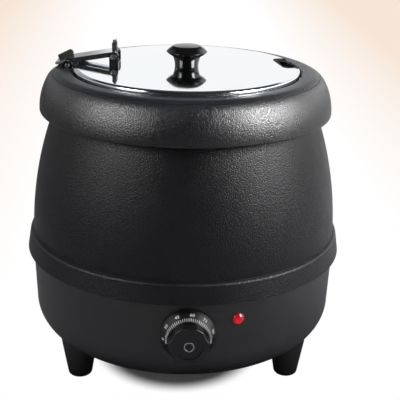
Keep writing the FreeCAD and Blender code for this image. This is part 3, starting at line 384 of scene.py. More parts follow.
class Pen:
    """Draws an outline from point to point in the XZ plane, in millimetres."""

    def __init__(self, x: float, z: float) -> None:
        """Put the pen down at a first point."""
        self.mesh = bmesh.new()
        self.start = self.tip = self.mesh.verts.new((x * MM, 0, z * MM))

    def line(self, *points: Point) -> "Pen":
        """Draw straight lines through points in turn.

        Args:
            points: Places across and up.

        Returns:
            The same pen.
        """
        for x, z in points:
            self.tip = bmesh.ops.extrude_vert_indiv(self.mesh, verts=[self.tip])["verts"][0]
            self.tip.co = (x * MM, 0, z * MM)
        return self

    def arc(self, x: float, z: float, turn: float, steps: int = 8) -> "Pen":
        """Turn the tip about a centre.

        Args:
            x: Centre across.
            z: Centre height.
            turn: Degrees, counter-clockwise with X to the right and Z up.
            steps: Straight pieces in the arc.

        Returns:
            The same pen.
        """
        made = bmesh.ops.spin(self.mesh, geom=[self.tip], cent=(x * MM, 0, z * MM),
                              axis=(0, -1, 0), angle=radians(turn), steps=steps)
        self.tip = next(v for v in made["geom_last"] if isinstance(v, BMVert))
        return self

    def through(self, middle: Point, end: Point, steps: int = 8) -> "Pen":
        """Draw the arc through one point to another.

        Args:
            middle: Point on the arc.
            end: Last point.
            steps: Straight pieces in the arc.

        Returns:
            The same pen.
        """
        here = (self.tip.co.x / MM, self.tip.co.z / MM)
        (x, z), turn = arc_centre(here, middle, end)
        return self.arc(x, z, turn, steps)

    def bow(self, end: Point, depth: float, steps: int = 8) -> "Pen":
        """Draw a shallow arc to a point, bowed to the right of the way there.

        Args:
            end: Last point.
            depth: How far the arc stands off the straight line.
            steps: Straight pieces in the arc.

        Returns:
            The same pen.
        """
        x, z = self.tip.co.x / MM, self.tip.co.z / MM
        across, rise = end[0] - x, end[1] - z
        aside = depth / hypot(across, rise)
        middle = ((x + end[0]) / 2 + rise * aside, (z + end[1]) / 2 - across * aside)
        return self.through(middle, end, steps)

    def close(self) -> BMesh:
        """Join the last point to the first.

        Returns:
            The outline's mesh.
        """
        if (self.tip.co - self.start.co).length > MERGE:
            self.mesh.edges.new((self.tip, self.start))
        return self.mesh

    def turned(self, segments: int = SEGMENTS) -> BMesh:
        """Close the outline and spin it once round the Z axis.

        Args:
            segments: Steps round the axis.

        Returns:
            The turned solid.
        """
        mesh = self.close()
        bmesh.ops.spin(mesh, geom=mesh.verts[:] + mesh.edges[:], cent=(0, 0, 0), axis=(0, 0, 1),
                       angle=2 * pi, steps=segments, use_merge=True)
        return settle(mesh)

    def slab(self, start: float, end: float) -> BMesh:
        """Close and fill the outline, and pull it along Y from one place to another.

        Args:
            start: Where it starts along Y.
            end: Where it ends.

        Returns:
            The solid.
        """
        mesh = self.close()
        bmesh.ops.remove_doubles(mesh, verts=mesh.verts[:], dist=MERGE)
        bmesh.ops.contextual_create(mesh, geom=mesh.edges[:])
        bmesh.ops.translate(mesh, verts=mesh.verts[:], vec=(0, start * MM, 0))
        made = bmesh.ops.extrude_face_region(mesh, geom=mesh.faces[:])["geom"]
        bmesh.ops.translate(mesh, verts=[g for g in made if isinstance(g, BMVert)],
                            vec=(0, (end - start) * MM, 0))
        return settle(mesh)


def plug(radius: float, low: float, high: float, segments: int = SEGMENTS) -> BMesh:
    """Round bar on the axis between two heights in millimetres."""
    return Pen(0, low).line((radius, low), (radius, high), (0, high)).turned(segments)


def brick(x: Point, y: Point, z: Point) -> BMesh:
    """Box between pairs of coordinates in millimetres.

    Args:
        x: From and to across.
        y: From and to in depth.
        z: From and to in height.

    Returns:
        The box.
    """
    mesh = bmesh.new()
    middle = Vector(((x[0] + x[1]) / 2, (y[0] + y[1]) / 2, (z[0] + z[1]) / 2)) * MM
    size = Matrix.Diagonal(((x[1] - x[0]) * MM, (y[1] - y[0]) * MM, (z[1] - z[0]) * MM, 1))
    bmesh.ops.create_cube(mesh, size=1.0, matrix=Matrix.Translation(middle) @ size)
    return mesh


def cross_rod(radius: float, x: float, z: float, half: float) -> BMesh:
    """Round rod along Y, reaching as far to either side, in millimetres.

    Args:
        radius: The rod's radius.
        x: Its place across.
        z: Its height.
        half: How far it reaches to either side.

    Returns:
        The rod.
    """
    mesh = bmesh.new()
    place = Matrix.Translation(Vector((x, 0, z)) * MM) @ Matrix.Rotation(pi / 2, 4, "X")
    bmesh.ops.create_cone(mesh, cap_ends=True, segments=SMALL_SEGMENTS, radius1=radius * MM,
                          radius2=radius * MM, depth=2 * half * MM, matrix=place)
    return mesh


def moved(mesh: BMesh, matrix: Matrix) -> BMesh:
    """Put a mesh in its place."""
    bmesh.ops.transform(mesh, matrix=matrix, verts=mesh.verts[:])
    return mesh


def at(azimuth: float, x: float = 0.0, y: float = 0.0, z: float = 0.0) -> Matrix:
    """Place in millimetres from the middle of the floor, turned about the axis to an azimuth."""
    return Matrix.Rotation(radians(azimuth), 4, "Z") @ Matrix.Translation((x * MM, y * MM, z * MM))


def outward(azimuth: float, height: float) -> Matrix:
    """Place of a piece drawn along +Z from the kettle's axis, pointing out at an azimuth."""
    return at(azimuth + 90, z=height) @ Matrix.Rotation(pi / 2, 4, "X")


def shade(data: Mesh) -> None:
    """Shade smooth, and keep the sharp edges sharp."""
    data.shade_smooth()
    data.set_sharp_from_angle(angle=SHARP_ANGLE)


def stand(name: str, data: ID) -> Object:
    """Put data into the scene as a new object at the origin.

    Args:
        name: The object's name.
        data: Its mesh, text, lamp or camera.

    Returns:
        The object.
    """
    made = bpy.data.objects.new(name, data)
    bpy.context.scene.collection.objects.link(made)
    return made


def kept(name: str, mesh: BMesh) -> Mesh:
    """Turn a bmesh into mesh data, and free it.

    Args:
        name: The data's name.
        mesh: The bmesh.

    Returns:
        The mesh data.
    """
    data = bpy.data.meshes.new(name)
    mesh.to_mesh(data)
    mesh.free()
    return data


def applied(made: Object) -> Mesh:
    """New mesh of an object, with its modifiers applied or its text filled."""
    graph = bpy.context.evaluated_depsgraph_get()
    return bpy.data.meshes.new_from_object(made.evaluated_get(graph))


def piece(name: str, mesh: BMesh, finish: Finish) -> Object:
    """Make an object of a finished mesh.

    Args:
        name: The piece's name.
        mesh: Its mesh, which is freed.
        finish: Its material.

    Returns:
        The object, at the origin.
    """
    data = kept(name, mesh)
    data.materials.append(finish.material())
    shade(data)
    return stand(name, data)


def shape(target: Object, tooling: Tooling, *tools: BMesh) -> Object:
    """Cut, join or trim a piece with tool meshes, and keep the result as its mesh.

    Args:
        target: The piece.
        tooling: What the tools do.
        tools: Meshes that act in turn, and are freed.

    Returns:
        The same piece.
    """
    helpers = [stand("tool", kept("tool", tool)) for tool in tools]
    for helper in helpers:
        step = target.modifiers.new("shape", "BOOLEAN")
        step.operation, step.solver, step.object = tooling.value, "EXACT", helper
    result = applied(target)
    target.modifiers.clear()
    old, target.data = target.data, result
    for data in (old, *(helper.data for helper in helpers)):
        bpy.data.meshes.remove(data)
    shade(result)
    return target


def common(mesh: BMesh, limit: BMesh) -> BMesh:
    """Find what two meshes share.

    Args:
        mesh: The mesh to trim, which is freed.
        limit: The mesh that it is trimmed to, which is freed.

    Returns:
        A new mesh.
    """
    trimmed = shape(stand("trimmed", kept("trimmed", mesh)), Tooling.TRIM, limit)
    made = bmesh.new()
    made.from_mesh(trimmed.data)
    bpy.data.objects.remove(trimmed)
    return made


def fit(made: Object, body: str, slot: str, *nodes: str) -> Object:
    """Ride a piece on its body, in the place of the CAD nodes that it stands for.

    Args:
        made: The piece.
        body: CAD body that carries it.
        slot: The record's material slot; not used.
        nodes: CAD nodes that it replaces.

    Returns:
        The same piece.
    """
    normals = made.modifiers.new("normals", "WEIGHTED_NORMAL")
    normals.keep_sharp = True
    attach(made, body)
    if nodes:
        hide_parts(*nodes)
    log.info("%s: %d faces on %s", made.name, len(made.data.polygons), body)
    return made


def refined(node: str, width: float, finish: Finish) -> Object:
    """Copy a CAD node, merge its triangles and round its edges.

    Args:
        node: The CAD node.
        width: Width of the rounding in millimetres.
        finish: The piece's material.

    Returns:
        The new piece.
    """
    mesh = bmesh.new()
    mesh.from_mesh(frame["nodes"][node].data)
    bmesh.ops.remove_doubles(mesh, verts=mesh.verts[:], dist=MERGE)
    bmesh.ops.dissolve_limit(mesh, angle_limit=FLAT_ANGLE, verts=mesh.verts[:], edges=mesh.edges[:])
    return piece(f"{node}_form", soften(mesh, width, segments=2), finish)


@dataclass
class Base:
    """Satin plastic base and its three feet."""

    low_r: float = 162.0
    top_r: float = 164.2
    rounding: float = 35.0
    floor_z: float = 38.5
    seam_z: float = 131.5
    top_z: float = 133.0
    wall: float = 2.5
    edge: float = 0.4
    opening_r: float = 95.0
    foot_circle: float = 129.5
    foot_tip_r: float = 13.0
    foot_top_r: float = 19.0
    foot_rounding: float = 4.5
    foot_tip_turn: float = 82.0
    foot_rise: float = 17.5
    foot_gap: float = 0.2
    foot_segments: int = 96
    foot_azimuths: tuple[tuple[str, float], ...] = (
        ("foot_left", -150), ("foot_right", -30), ("foot_rear", 90))

    def outline(self, inset: float = 0.0) -> Pen:
        """Outside of the base, or a copy set in by some millimetres, from floor to top.

        Args:
            inset: How far the copy is set in, or out if negative.

        Returns:
            Pen at the top.
        """
        centre_r, centre_z = self.low_r - self.rounding, self.floor_z + self.rounding
        low, side = self.floor_z + inset, self.top_r - inset
        pen = Pen(self.opening_r, low).line((centre_r, low)).arc(centre_r, centre_z, 90, steps=24)
        return pen.line((side, self.seam_z), (side, self.top_z))

    def shell(self) -> BMesh:
        """Turn the wall of the base.

        Returns:
            The shell.
        """
        w, centre_r, centre_z = self.wall, self.low_r - self.rounding, self.floor_z + self.rounding
        pen = self.outline().line((self.top_r - w, self.top_z), (self.low_r - w, centre_z))
        pen.arc(centre_r, centre_z, -90, steps=24).line((self.opening_r, self.floor_z + w))
        return soften(pen.turned(), self.edge)

    def foot(self, azimuth: float) -> BMesh:
        """Turn one tapered foot, taller than it shows, at its place.

        Args:
            azimuth: Where it stands round the axis, in degrees.

        Returns:
            The foot.
        """
        height = self.floor_z + self.foot_rise
        taper = (self.foot_top_r - self.foot_tip_r) / self.floor_z
        tip, r = self.foot_rounding, self.foot_tip_r
        pen = Pen(0, 0).line((r - tip, 0)).arc(r - tip, tip, self.foot_tip_turn, steps=10)
        pen.line((r + taper * height, height), (0, height))
        return moved(pen.turned(self.foot_segments), at(azimuth, self.foot_circle))

    def build(self) -> None:
        """Make base and feet."""
        fit(piece("base_housing", self.shell(), SATIN_ABS), "kettle", "base_black", "base_shell")
        for node, azimuth in self.foot_azimuths:
            foot = piece(f"{node}_form", self.foot(azimuth), FOOT_NYLON)
            above = self.outline(-self.foot_gap).line((0, self.top_z), (0, self.floor_z))
            fit(shape(foot, Tooling.CUT, above.turned()), "kettle", "foot_black", node)


@dataclass
class Hinge:
    """Sizes of the lid's hinge that collar, rim and strap share; drawn at azimuth zero."""

    azimuth: float = 176.0
    offset: float = 10.2
    pivot_r: float = 124.0
    pivot_z: float = 325.141
    seat_z: float = 316.741
    ear_inner: float = 14.0
    ear_outer: float = 19.0
    ear_reach: float = 7.2
    ear_slope: float = 1.6
    ear_root: float = 1.0
    pocket_r: float = 18.6
    pocket_half: float = 13.4
    pocket_inner: float = 2.3
    knuckle_r: float = 4.5
    knuckle_gap: float = 1.0
    bush_r: float = 5.3
    bush_relief: float = 22.0
    over: float = 12.0
    screw_end: float = 20.8
    bolt_r: float = 76.0
    bolt_z: float = 335.041
    bolt_end: float = 16.3
    slot_width: float = 0.9
    slot_depth: float = 0.8
    slot_reach: float = 5.0
    slot_lean: float = 25.0
    slot_over: float = 1.1

    def turn(self) -> Matrix:
        """Place of the hinge, its middle plane beside the kettle's axis."""
        return at(self.azimuth, y=-self.offset)

    def slot(self, x: float, z: float, end: float) -> BMesh:
        """Draw the driver slot across a screw head.

        Args:
            x: The screw's distance from the kettle's axis.
            z: Its height.
            end: How far its head reaches from the middle plane, either way.

        Returns:
            The slot as a solid.
        """
        half, depth = self.slot_width / 2, self.slot_depth if end > 0 else -self.slot_depth
        mesh = brick((-self.slot_reach, self.slot_reach),
                     sorted((end - depth, end * self.slot_over)), (-half, half))
        lean = Matrix.Rotation(radians(self.slot_lean), 4, "Y")
        return moved(mesh, self.turn() @ at(0, x, z=z) @ lean)

    def relief(self, outer_r: float) -> BMesh:
        """Room over the flat seat behind the ears.

        Args:
            outer_r: How far out it reaches.

        Returns:
            The room as a solid.
        """
        half = self.ear_outer + SLACK
        return moved(brick((self.pivot_r + self.ear_reach, outer_r), (-half, half),
                           (self.seat_z, self.pivot_z + self.over)), self.turn())

    def pocket(self) -> BMesh:
        """Round pocket that the strap's tail swings into.

        Returns:
            The pocket as a solid.
        """
        drop = (self.pocket_r ** 2 - self.pocket_inner ** 2) ** 0.5
        pen = Pen(self.pivot_r - self.pocket_inner, self.pivot_z - drop)
        lean = degrees(atan2(self.pocket_inner, drop))
        pen.arc(self.pivot_r, self.pivot_z, 180 + 2 * lean, steps=48)
        return moved(pen.slab(-self.pocket_half, self.pocket_half), self.turn())

    def knuckle_room(self) -> BMesh:
        """Room round the strap's knuckle."""
        return moved(cross_rod(self.knuckle_r + self.knuckle_gap, self.pivot_r, self.pivot_z,
                               self.pocket_half - SLACK), self.turn())

    def floor(self, inner: float, outer: float, low: float) -> BMesh:
        """Flat floor under the hinge.

        Args:
            inner: Where it starts, from the kettle's axis.
            outer: Where it ends.
            low: Height of its underside.

        Returns:
            The floor.
        """
        half = self.ear_outer - SLACK
        return moved(brick((inner, outer), (-half, half), (low + SLACK, self.seat_z - SLACK)),
                     self.turn())

    def ear(self, lip_r: float, side: int) -> BMesh:
        """One ear of the rim, on either side of the middle plane.

        Args:
            lip_r: Radius of the rim's lip, which the ear starts from.
            side: Plus or minus one.

        Returns:
            The ear.
        """
        inner, outer = lip_r - self.ear_root, self.pivot_r + self.ear_reach
        foot, root_z = outer + self.ear_slope, self.seat_z - self.ear_root
        pen = Pen(inner, root_z).line((foot, root_z), (foot, self.seat_z), (outer, self.pivot_z),
                                      (inner, self.pivot_z))
        return moved(pen.slab(*sorted((side * self.ear_inner, side * self.ear_outer))), self.turn())

    def cradle(self) -> BMesh:
        """Half-round seat of the bushes in both ears."""
        return moved(cross_rod(self.bush_r, self.pivot_r, self.pivot_z, self.bush_relief),
                     self.turn())

    def build(self) -> None:
        """Make the moving and fixed pieces of the hinge."""
        pivot = (self.pivot_r, self.pivot_z)
        slots = {"pivot_screws": ((*pivot, self.screw_end), (*pivot, -self.screw_end)),
                 "bracket_bolt": ((self.bolt_r, self.bolt_z, self.bolt_end),)}
        for node, body, slot, width, finish in (
                ("hinge_strap", "lid", "polished_steel", 0.35, POLISHED_STEEL),
                ("hinge_knuckle", "lid", "satin_steel", 0.3, BRUSHED_STEEL),
                ("hinge_stop", "lid", "soft_black", 0.6, RUBBER),
                ("strap_grip", "lid", "soft_black", 0.5, RUBBER),
                ("lid_bracket", "lid", "black_steel", 0.3, DIPPED_STEEL),
                ("bracket_rivets", "lid", "bright_screw", 0.3, ZINC_STEEL),
                ("bracket_bolt", "lid", "bright_screw", 0.4, ZINC_STEEL),
                ("bracket_nut", "lid", "bright_screw", 0.3, ZINC_STEEL),
                ("hinge_bush_front", "kettle", "soft_black", 0.4, GLOSS_ABS),
                ("hinge_bush_rear", "kettle", "soft_black", 0.4, GLOSS_ABS),
                ("pivot_screws", "kettle", "bright_screw", 0.4, ZINC_STEEL)):
            made = refined(node, width, finish)
            if node in slots:
                shape(made, Tooling.CUT, *(self.slot(*place) for place in slots[node]))
            fit(made, body, slot, node)


@dataclass(frozen=True)
class Crest:
    """Arc over the top that collar and rim share."""

    r: float = 129.8
    top: float = 323.341
    rounding: float = 18.0

    @property
    def low(self) -> float:
        """Height of the arc's centre."""
        return self.top - self.rounding

    def height(self, r: float, inset: float = 0.0) -> float:
        """Height at a radius of the arc, set in by some millimetres."""
        return self.low + ((self.rounding - inset) ** 2 - (r - self.r) ** 2) ** 0.5

    def angle(self, r: float, inset: float = 0.0) -> float:
        """Angle of the same arc at that radius, in degrees."""
        return degrees(atan2(self.height(r, inset) - self.low, r - self.r))


@dataclass
class Jacket:
    """Grained barrel and collar."""

    hinge: Hinge
    crest: Crest
    seam_z: float = 131.5
    shelf_z: float = 133.0
    shelf_r: float = 154.2
    shelf_inset: float = 1.44
    skirt_r: float = 169.9
    skirt_inset: float = 1.92
    skirt_top: Point = (167.0, 149.8)
    shoulder: Point = (165.92, 151.744)
    low: Point = (163.4, 152.5)
    middle: Point = (157.3, 215.25)
    top: Point = (140.0, 278.0)
    top_inset: float = 1.44
    flange_r: float = 130.0
    wall: float = 1.2
    barrel_edge: float = 0.35
    collar_r: float = 153.4
    collar_wall: float = 3.0
    collar_edge: float = 0.4
    collar_flange: float = 9.0
    nose_r: float = 2.0
    nose_z: float = 284.041
    slope: float = 19.0
    flank_r: float = 61.308
    flank_turn: float = 29.47
    split_r: float = 139.6
    ledge_z: float = 315.141
    ledge_r: float = 133.6
    cut_over: float = 2.0

    def barrel(self) -> BMesh:
        """Turn the barrel with its stepped skirt.

        Returns:
            The barrel.
        """
        w, skirt_r, shelf_r, shelf_z = self.wall, self.skirt_r, self.shelf_r, self.shelf_z
        (low_r, low_z), (side_r, side_z), (top_r, top_z) = self.low, self.middle, self.top
        step_r, step_z = self.skirt_top
        pen = Pen(skirt_r, self.seam_z).line(self.skirt_top).through(self.shoulder, self.low)
        pen.through(self.middle, self.top, steps=48)
        pen.line((self.flange_r, top_z), (self.flange_r, top_z - w),
                 (top_r - self.top_inset, top_z - w))
        pen.through((side_r - w, side_z), (low_r - w, low_z), steps=32)
        pen.line((low_r - w, step_z), (step_r - w, step_z),
                 (skirt_r - self.skirt_inset, shelf_z + w), (shelf_r, shelf_z + w),
                 (shelf_r, shelf_z), (skirt_r - self.shelf_inset, shelf_z),
                 (skirt_r - w, self.seam_z))
        return soften(pen.turned(), self.barrel_edge)

    def lump(self) -> BMesh:
        """Everything inside the collar's outer surface.

        Returns:
            The solid, a little slimmer than the collar.
        """
        pen = Pen(self.collar_r, self.nose_z)
        pen.arc(self.collar_r - self.flank_r, self.nose_z, self.flank_turn, steps=16)
        pen.arc(self.crest.r, self.crest.low, 90 - self.flank_turn, steps=24)
        pen.line((0, self.crest.top), (0, self.nose_z))
        shrink = 1 - SLACK / self.collar_r
        return moved(pen.turned(), Matrix.Diagonal((shrink, shrink, 1, 1)))

    def collar(self) -> BMesh:
        """Turn the hollow collar, up to the split from the rim.

        Returns:
            The collar.
        """
        w, lean, crest, split = self.collar_wall, radians(self.slope), self.crest, self.split_r
        nose, flank = self.collar_r - self.nose_r, self.collar_r - self.flank_r
        top_r, foot_z = self.top
        inner_r, under = top_r - self.collar_flange, self.ledge_z - w
        tip = (nose + self.nose_r * sin(lean), self.nose_z - self.nose_r * cos(lean))
        pen = Pen(inner_r, foot_z).line((top_r, foot_z), tip)
        pen.arc(nose, self.nose_z, 90 - self.slope)
        pen.arc(flank, self.nose_z, self.flank_turn, steps=20)
        pen.arc(crest.r, crest.low, crest.angle(split) - self.flank_turn, steps=12)
        inner_arc = crest.r + ((crest.rounding - w) ** 2 - (under - crest.low) ** 2) ** 0.5
        pen.line((split, self.ledge_z), (self.ledge_r, self.ledge_z), (self.ledge_r, under),
                 (inner_arc, under))
        pen.arc(flank, self.nose_z, -self.flank_turn, steps=16)
        pen.line((top_r, foot_z + w), (inner_r, foot_z + w))
        return soften(pen.turned(), self.collar_edge, split=(split, crest.height(split)))

    def build(self) -> None:
        """Make barrel and collar, with the collar's seat for the hinge."""
        fit(piece("barrel_form", self.barrel(), GRAINED_COAT), "kettle", "grained_black", "barrel")
        hinge, reach = self.hinge, self.collar_r + self.cut_over
        collar = piece("collar_form", self.collar(), GRAINED_ABS)
        shape(collar, Tooling.CUT, hinge.relief(reach))
        floor = hinge.floor(self.split_r, reach, self.ledge_z - self.collar_wall)
        shape(collar, Tooling.JOIN, common(floor, self.lump()))
        shape(collar, Tooling.CUT, hinge.pocket())
        fit(collar, "kettle", "collar_black", "collar")


@dataclass
class Rim:
    """Smooth ring inside the collar, with the seat of the pot and the ears of the hinge."""

    hinge: Hinge
    crest: Crest
    outer_r: float = 139.4
    lip_r: float = 120.3
    lip_rounding: float = 2.0
    seat_z: float = 316.341
    seat_r: float = 115.6
    ledge_z: float = 315.141
    wall: float = 3.0
    edge: float = 0.4
    cut_over: float = 3.0
    floor_room: Point = (300.0, 330.0)
    well_top: float = 340.0

    def ring(self) -> BMesh:
        """Turn the ring's section.

        Returns:
            The ring.
        """
        w, crest, outer, lip_r = self.wall, self.crest, self.outer_r, self.lip_r
        bend = lip_r + self.lip_rounding
        pen = Pen(outer, self.ledge_z).line((outer, crest.height(outer)))
        pen.arc(crest.r, crest.low, 90 - crest.angle(outer), steps=12)
        pen.line((bend, crest.top)).arc(bend, crest.top - self.lip_rounding, 90)
        pen.line((lip_r, self.seat_z), (self.seat_r, self.seat_z), (self.seat_r, self.seat_z - w),
                 (lip_r + w, self.seat_z - w), (lip_r + w, crest.top - w), (crest.r, crest.top - w))
        pen.arc(crest.r, crest.low, crest.angle(outer - w, w) - 90)
        pen.line((outer - w, self.ledge_z))
        return soften(pen.turned(), self.edge, split=(outer, crest.height(outer)))

    def build(self) -> None:
        """Make the ring and shape the hinge into it."""
        hinge, reach = self.hinge, self.outer_r + self.cut_over
        ring = piece("rim_form", self.ring(), GRAINED_ABS)
        shape(ring, Tooling.CUT, hinge.relief(reach))
        floor = hinge.floor(self.lip_r + self.wall / 2, reach, self.ledge_z)
        shape(ring, Tooling.JOIN, common(floor, plug(self.outer_r - SLACK, *self.floor_room)))
        shape(ring, Tooling.JOIN, hinge.ear(self.lip_r, 1), hinge.ear(self.lip_r, -1))
        well = plug(self.lip_r - SLACK, self.seat_z + SLACK, self.well_top)
        shape(ring, Tooling.CUT, hinge.pocket(), hinge.knuckle_room(), hinge.cradle(), well)
        fit(ring, "kettle", "collar_black", "rim_ring")


@dataclass
class Pot:
    """Lift-out pot of drawn stainless steel."""

    inner_r: float = 110.3
    wall: float = 0.7
    corner: float = 12.0
    bottom_z: float = 86.3
    rim_z: float = 318.341
    flange_r: float = 119.6
    flange: float = 1.2
    edge: float = 0.4

    def build(self) -> None:
        """Turn the pot."""
        w, r, bend = self.wall, self.inner_r, self.inner_r - self.corner
        bend_z, under = self.bottom_z + self.corner, self.rim_z - self.flange
        pen = Pen(0, self.bottom_z - w).line((bend, self.bottom_z - w))
        pen.arc(bend, bend_z, 90, steps=12)
        pen.line((r + w, under), (self.flange_r, under), (self.flange_r, self.rim_z),
                 (r, self.rim_z), (r, bend_z))
        pen.arc(bend, bend_z, -90, steps=12).line((0, self.bottom_z))
        mesh = soften(pen.turned(), self.edge)
        fit(piece("pot_form", mesh, BRUSHED_STEEL), "kettle", "satin_steel", "pot")


@dataclass
class Lid:
    """Polished sheet lid with its ladle notch, and the knob."""

    radius: float = 118.3
    sheet: float = 1.0
    dish_r: float = 113.3
    bend: float = 0.9
    top_z: float = 326.741
    edge_z: float = 326.241
    skirt_z: float = 318.641
    edge_rounding: float = 1.2
    notch_azimuth: float = 10.0
    notch_inner: float = 99.5
    notch_half: float = 23.5
    notch_corner: float = 7.0
    notch_over: float = 3.0
    notch_reach: float = 8.0
    guard_edge: float = 0.4
    neck_r: float = 12.3
    waist: Point = (12.9, 5.2)
    flare: Point = (14.6, 10.4)
    cap: Point = (21.25, 15.2)
    crown: Point = (13.75, 21.2)
    peak: float = 22.0
    bulge: float = 0.4
    knob_edge: float = 0.3
    knob_segments: int = 160

    def plate(self) -> BMesh:
        """Turn the lid's sheet.

        Returns:
            The lid, still without its notch.
        """
        t, r, dish, bend, top = self.sheet, self.radius, self.dish_r, self.bend, self.top_z
        edge, edge_z, turn_z = r - self.edge_rounding, self.edge_z, self.edge_z - self.edge_rounding
        fall = (top - edge_z) / (edge - dish) * bend
        pen = Pen(0, top - t).line((dish, top - t), (edge, edge_z - t))
        pen.arc(edge, turn_z, -90, steps=4)
        pen.line((r - t, self.skirt_z), (r, self.skirt_z), (r, turn_z)).arc(edge, turn_z, 90)
        pen.line((edge - bend, edge_z + fall), (dish + bend, top - fall), (dish, top),
                 (dish - bend, top), (0, top))
        return pen.turned()

    def notch(self) -> BMesh:
        """Rounded notch, open toward the lid's edge.

        Returns:
            The notch as a solid.
        """
        mesh = brick((self.notch_inner, self.radius + self.notch_reach),
                     (-self.notch_half, self.notch_half),
                     (self.skirt_z - self.notch_over, self.top_z + self.notch_over))
        corners = [e for e in mesh.edges if all(v.co.x < self.radius * MM for v in e.verts)
                   and abs(e.verts[0].co.z - e.verts[1].co.z) > MM]
        round_off(mesh, corners, self.notch_corner, segments=10)
        return moved(mesh, at(self.notch_azimuth))

    def knob(self) -> BMesh:
        """Turn the mushroom knob.

        Returns:
            The knob.
        """
        z = self.top_z
        waist, flare, cap, crown = ((r, z + h) for r, h in (self.waist, self.flare, self.cap,
                                                            self.crown))
        pen = Pen(0, z).line((self.neck_r, z)).through(waist, flare, steps=16)
        pen.bow(cap, self.bulge, steps=16).bow(crown, self.bulge, steps=16)
        return soften(pen.line((0, z + self.peak)).turned(self.knob_segments), self.knob_edge)

    def build(self) -> None:
        """Make lid and knob."""
        lid = shape(piece("lid_form", self.plate(), POLISHED_STEEL), Tooling.CUT, self.notch())
        fit(lid, "lid", "polished_steel", "lid")
        fit(piece("knob_form", self.knob(), PHENOLIC), "lid", "gloss_black", "lid_knob")
        fit(refined("notch_guard", self.guard_edge, RUBBER), "lid", "soft_black", "notch_guard")


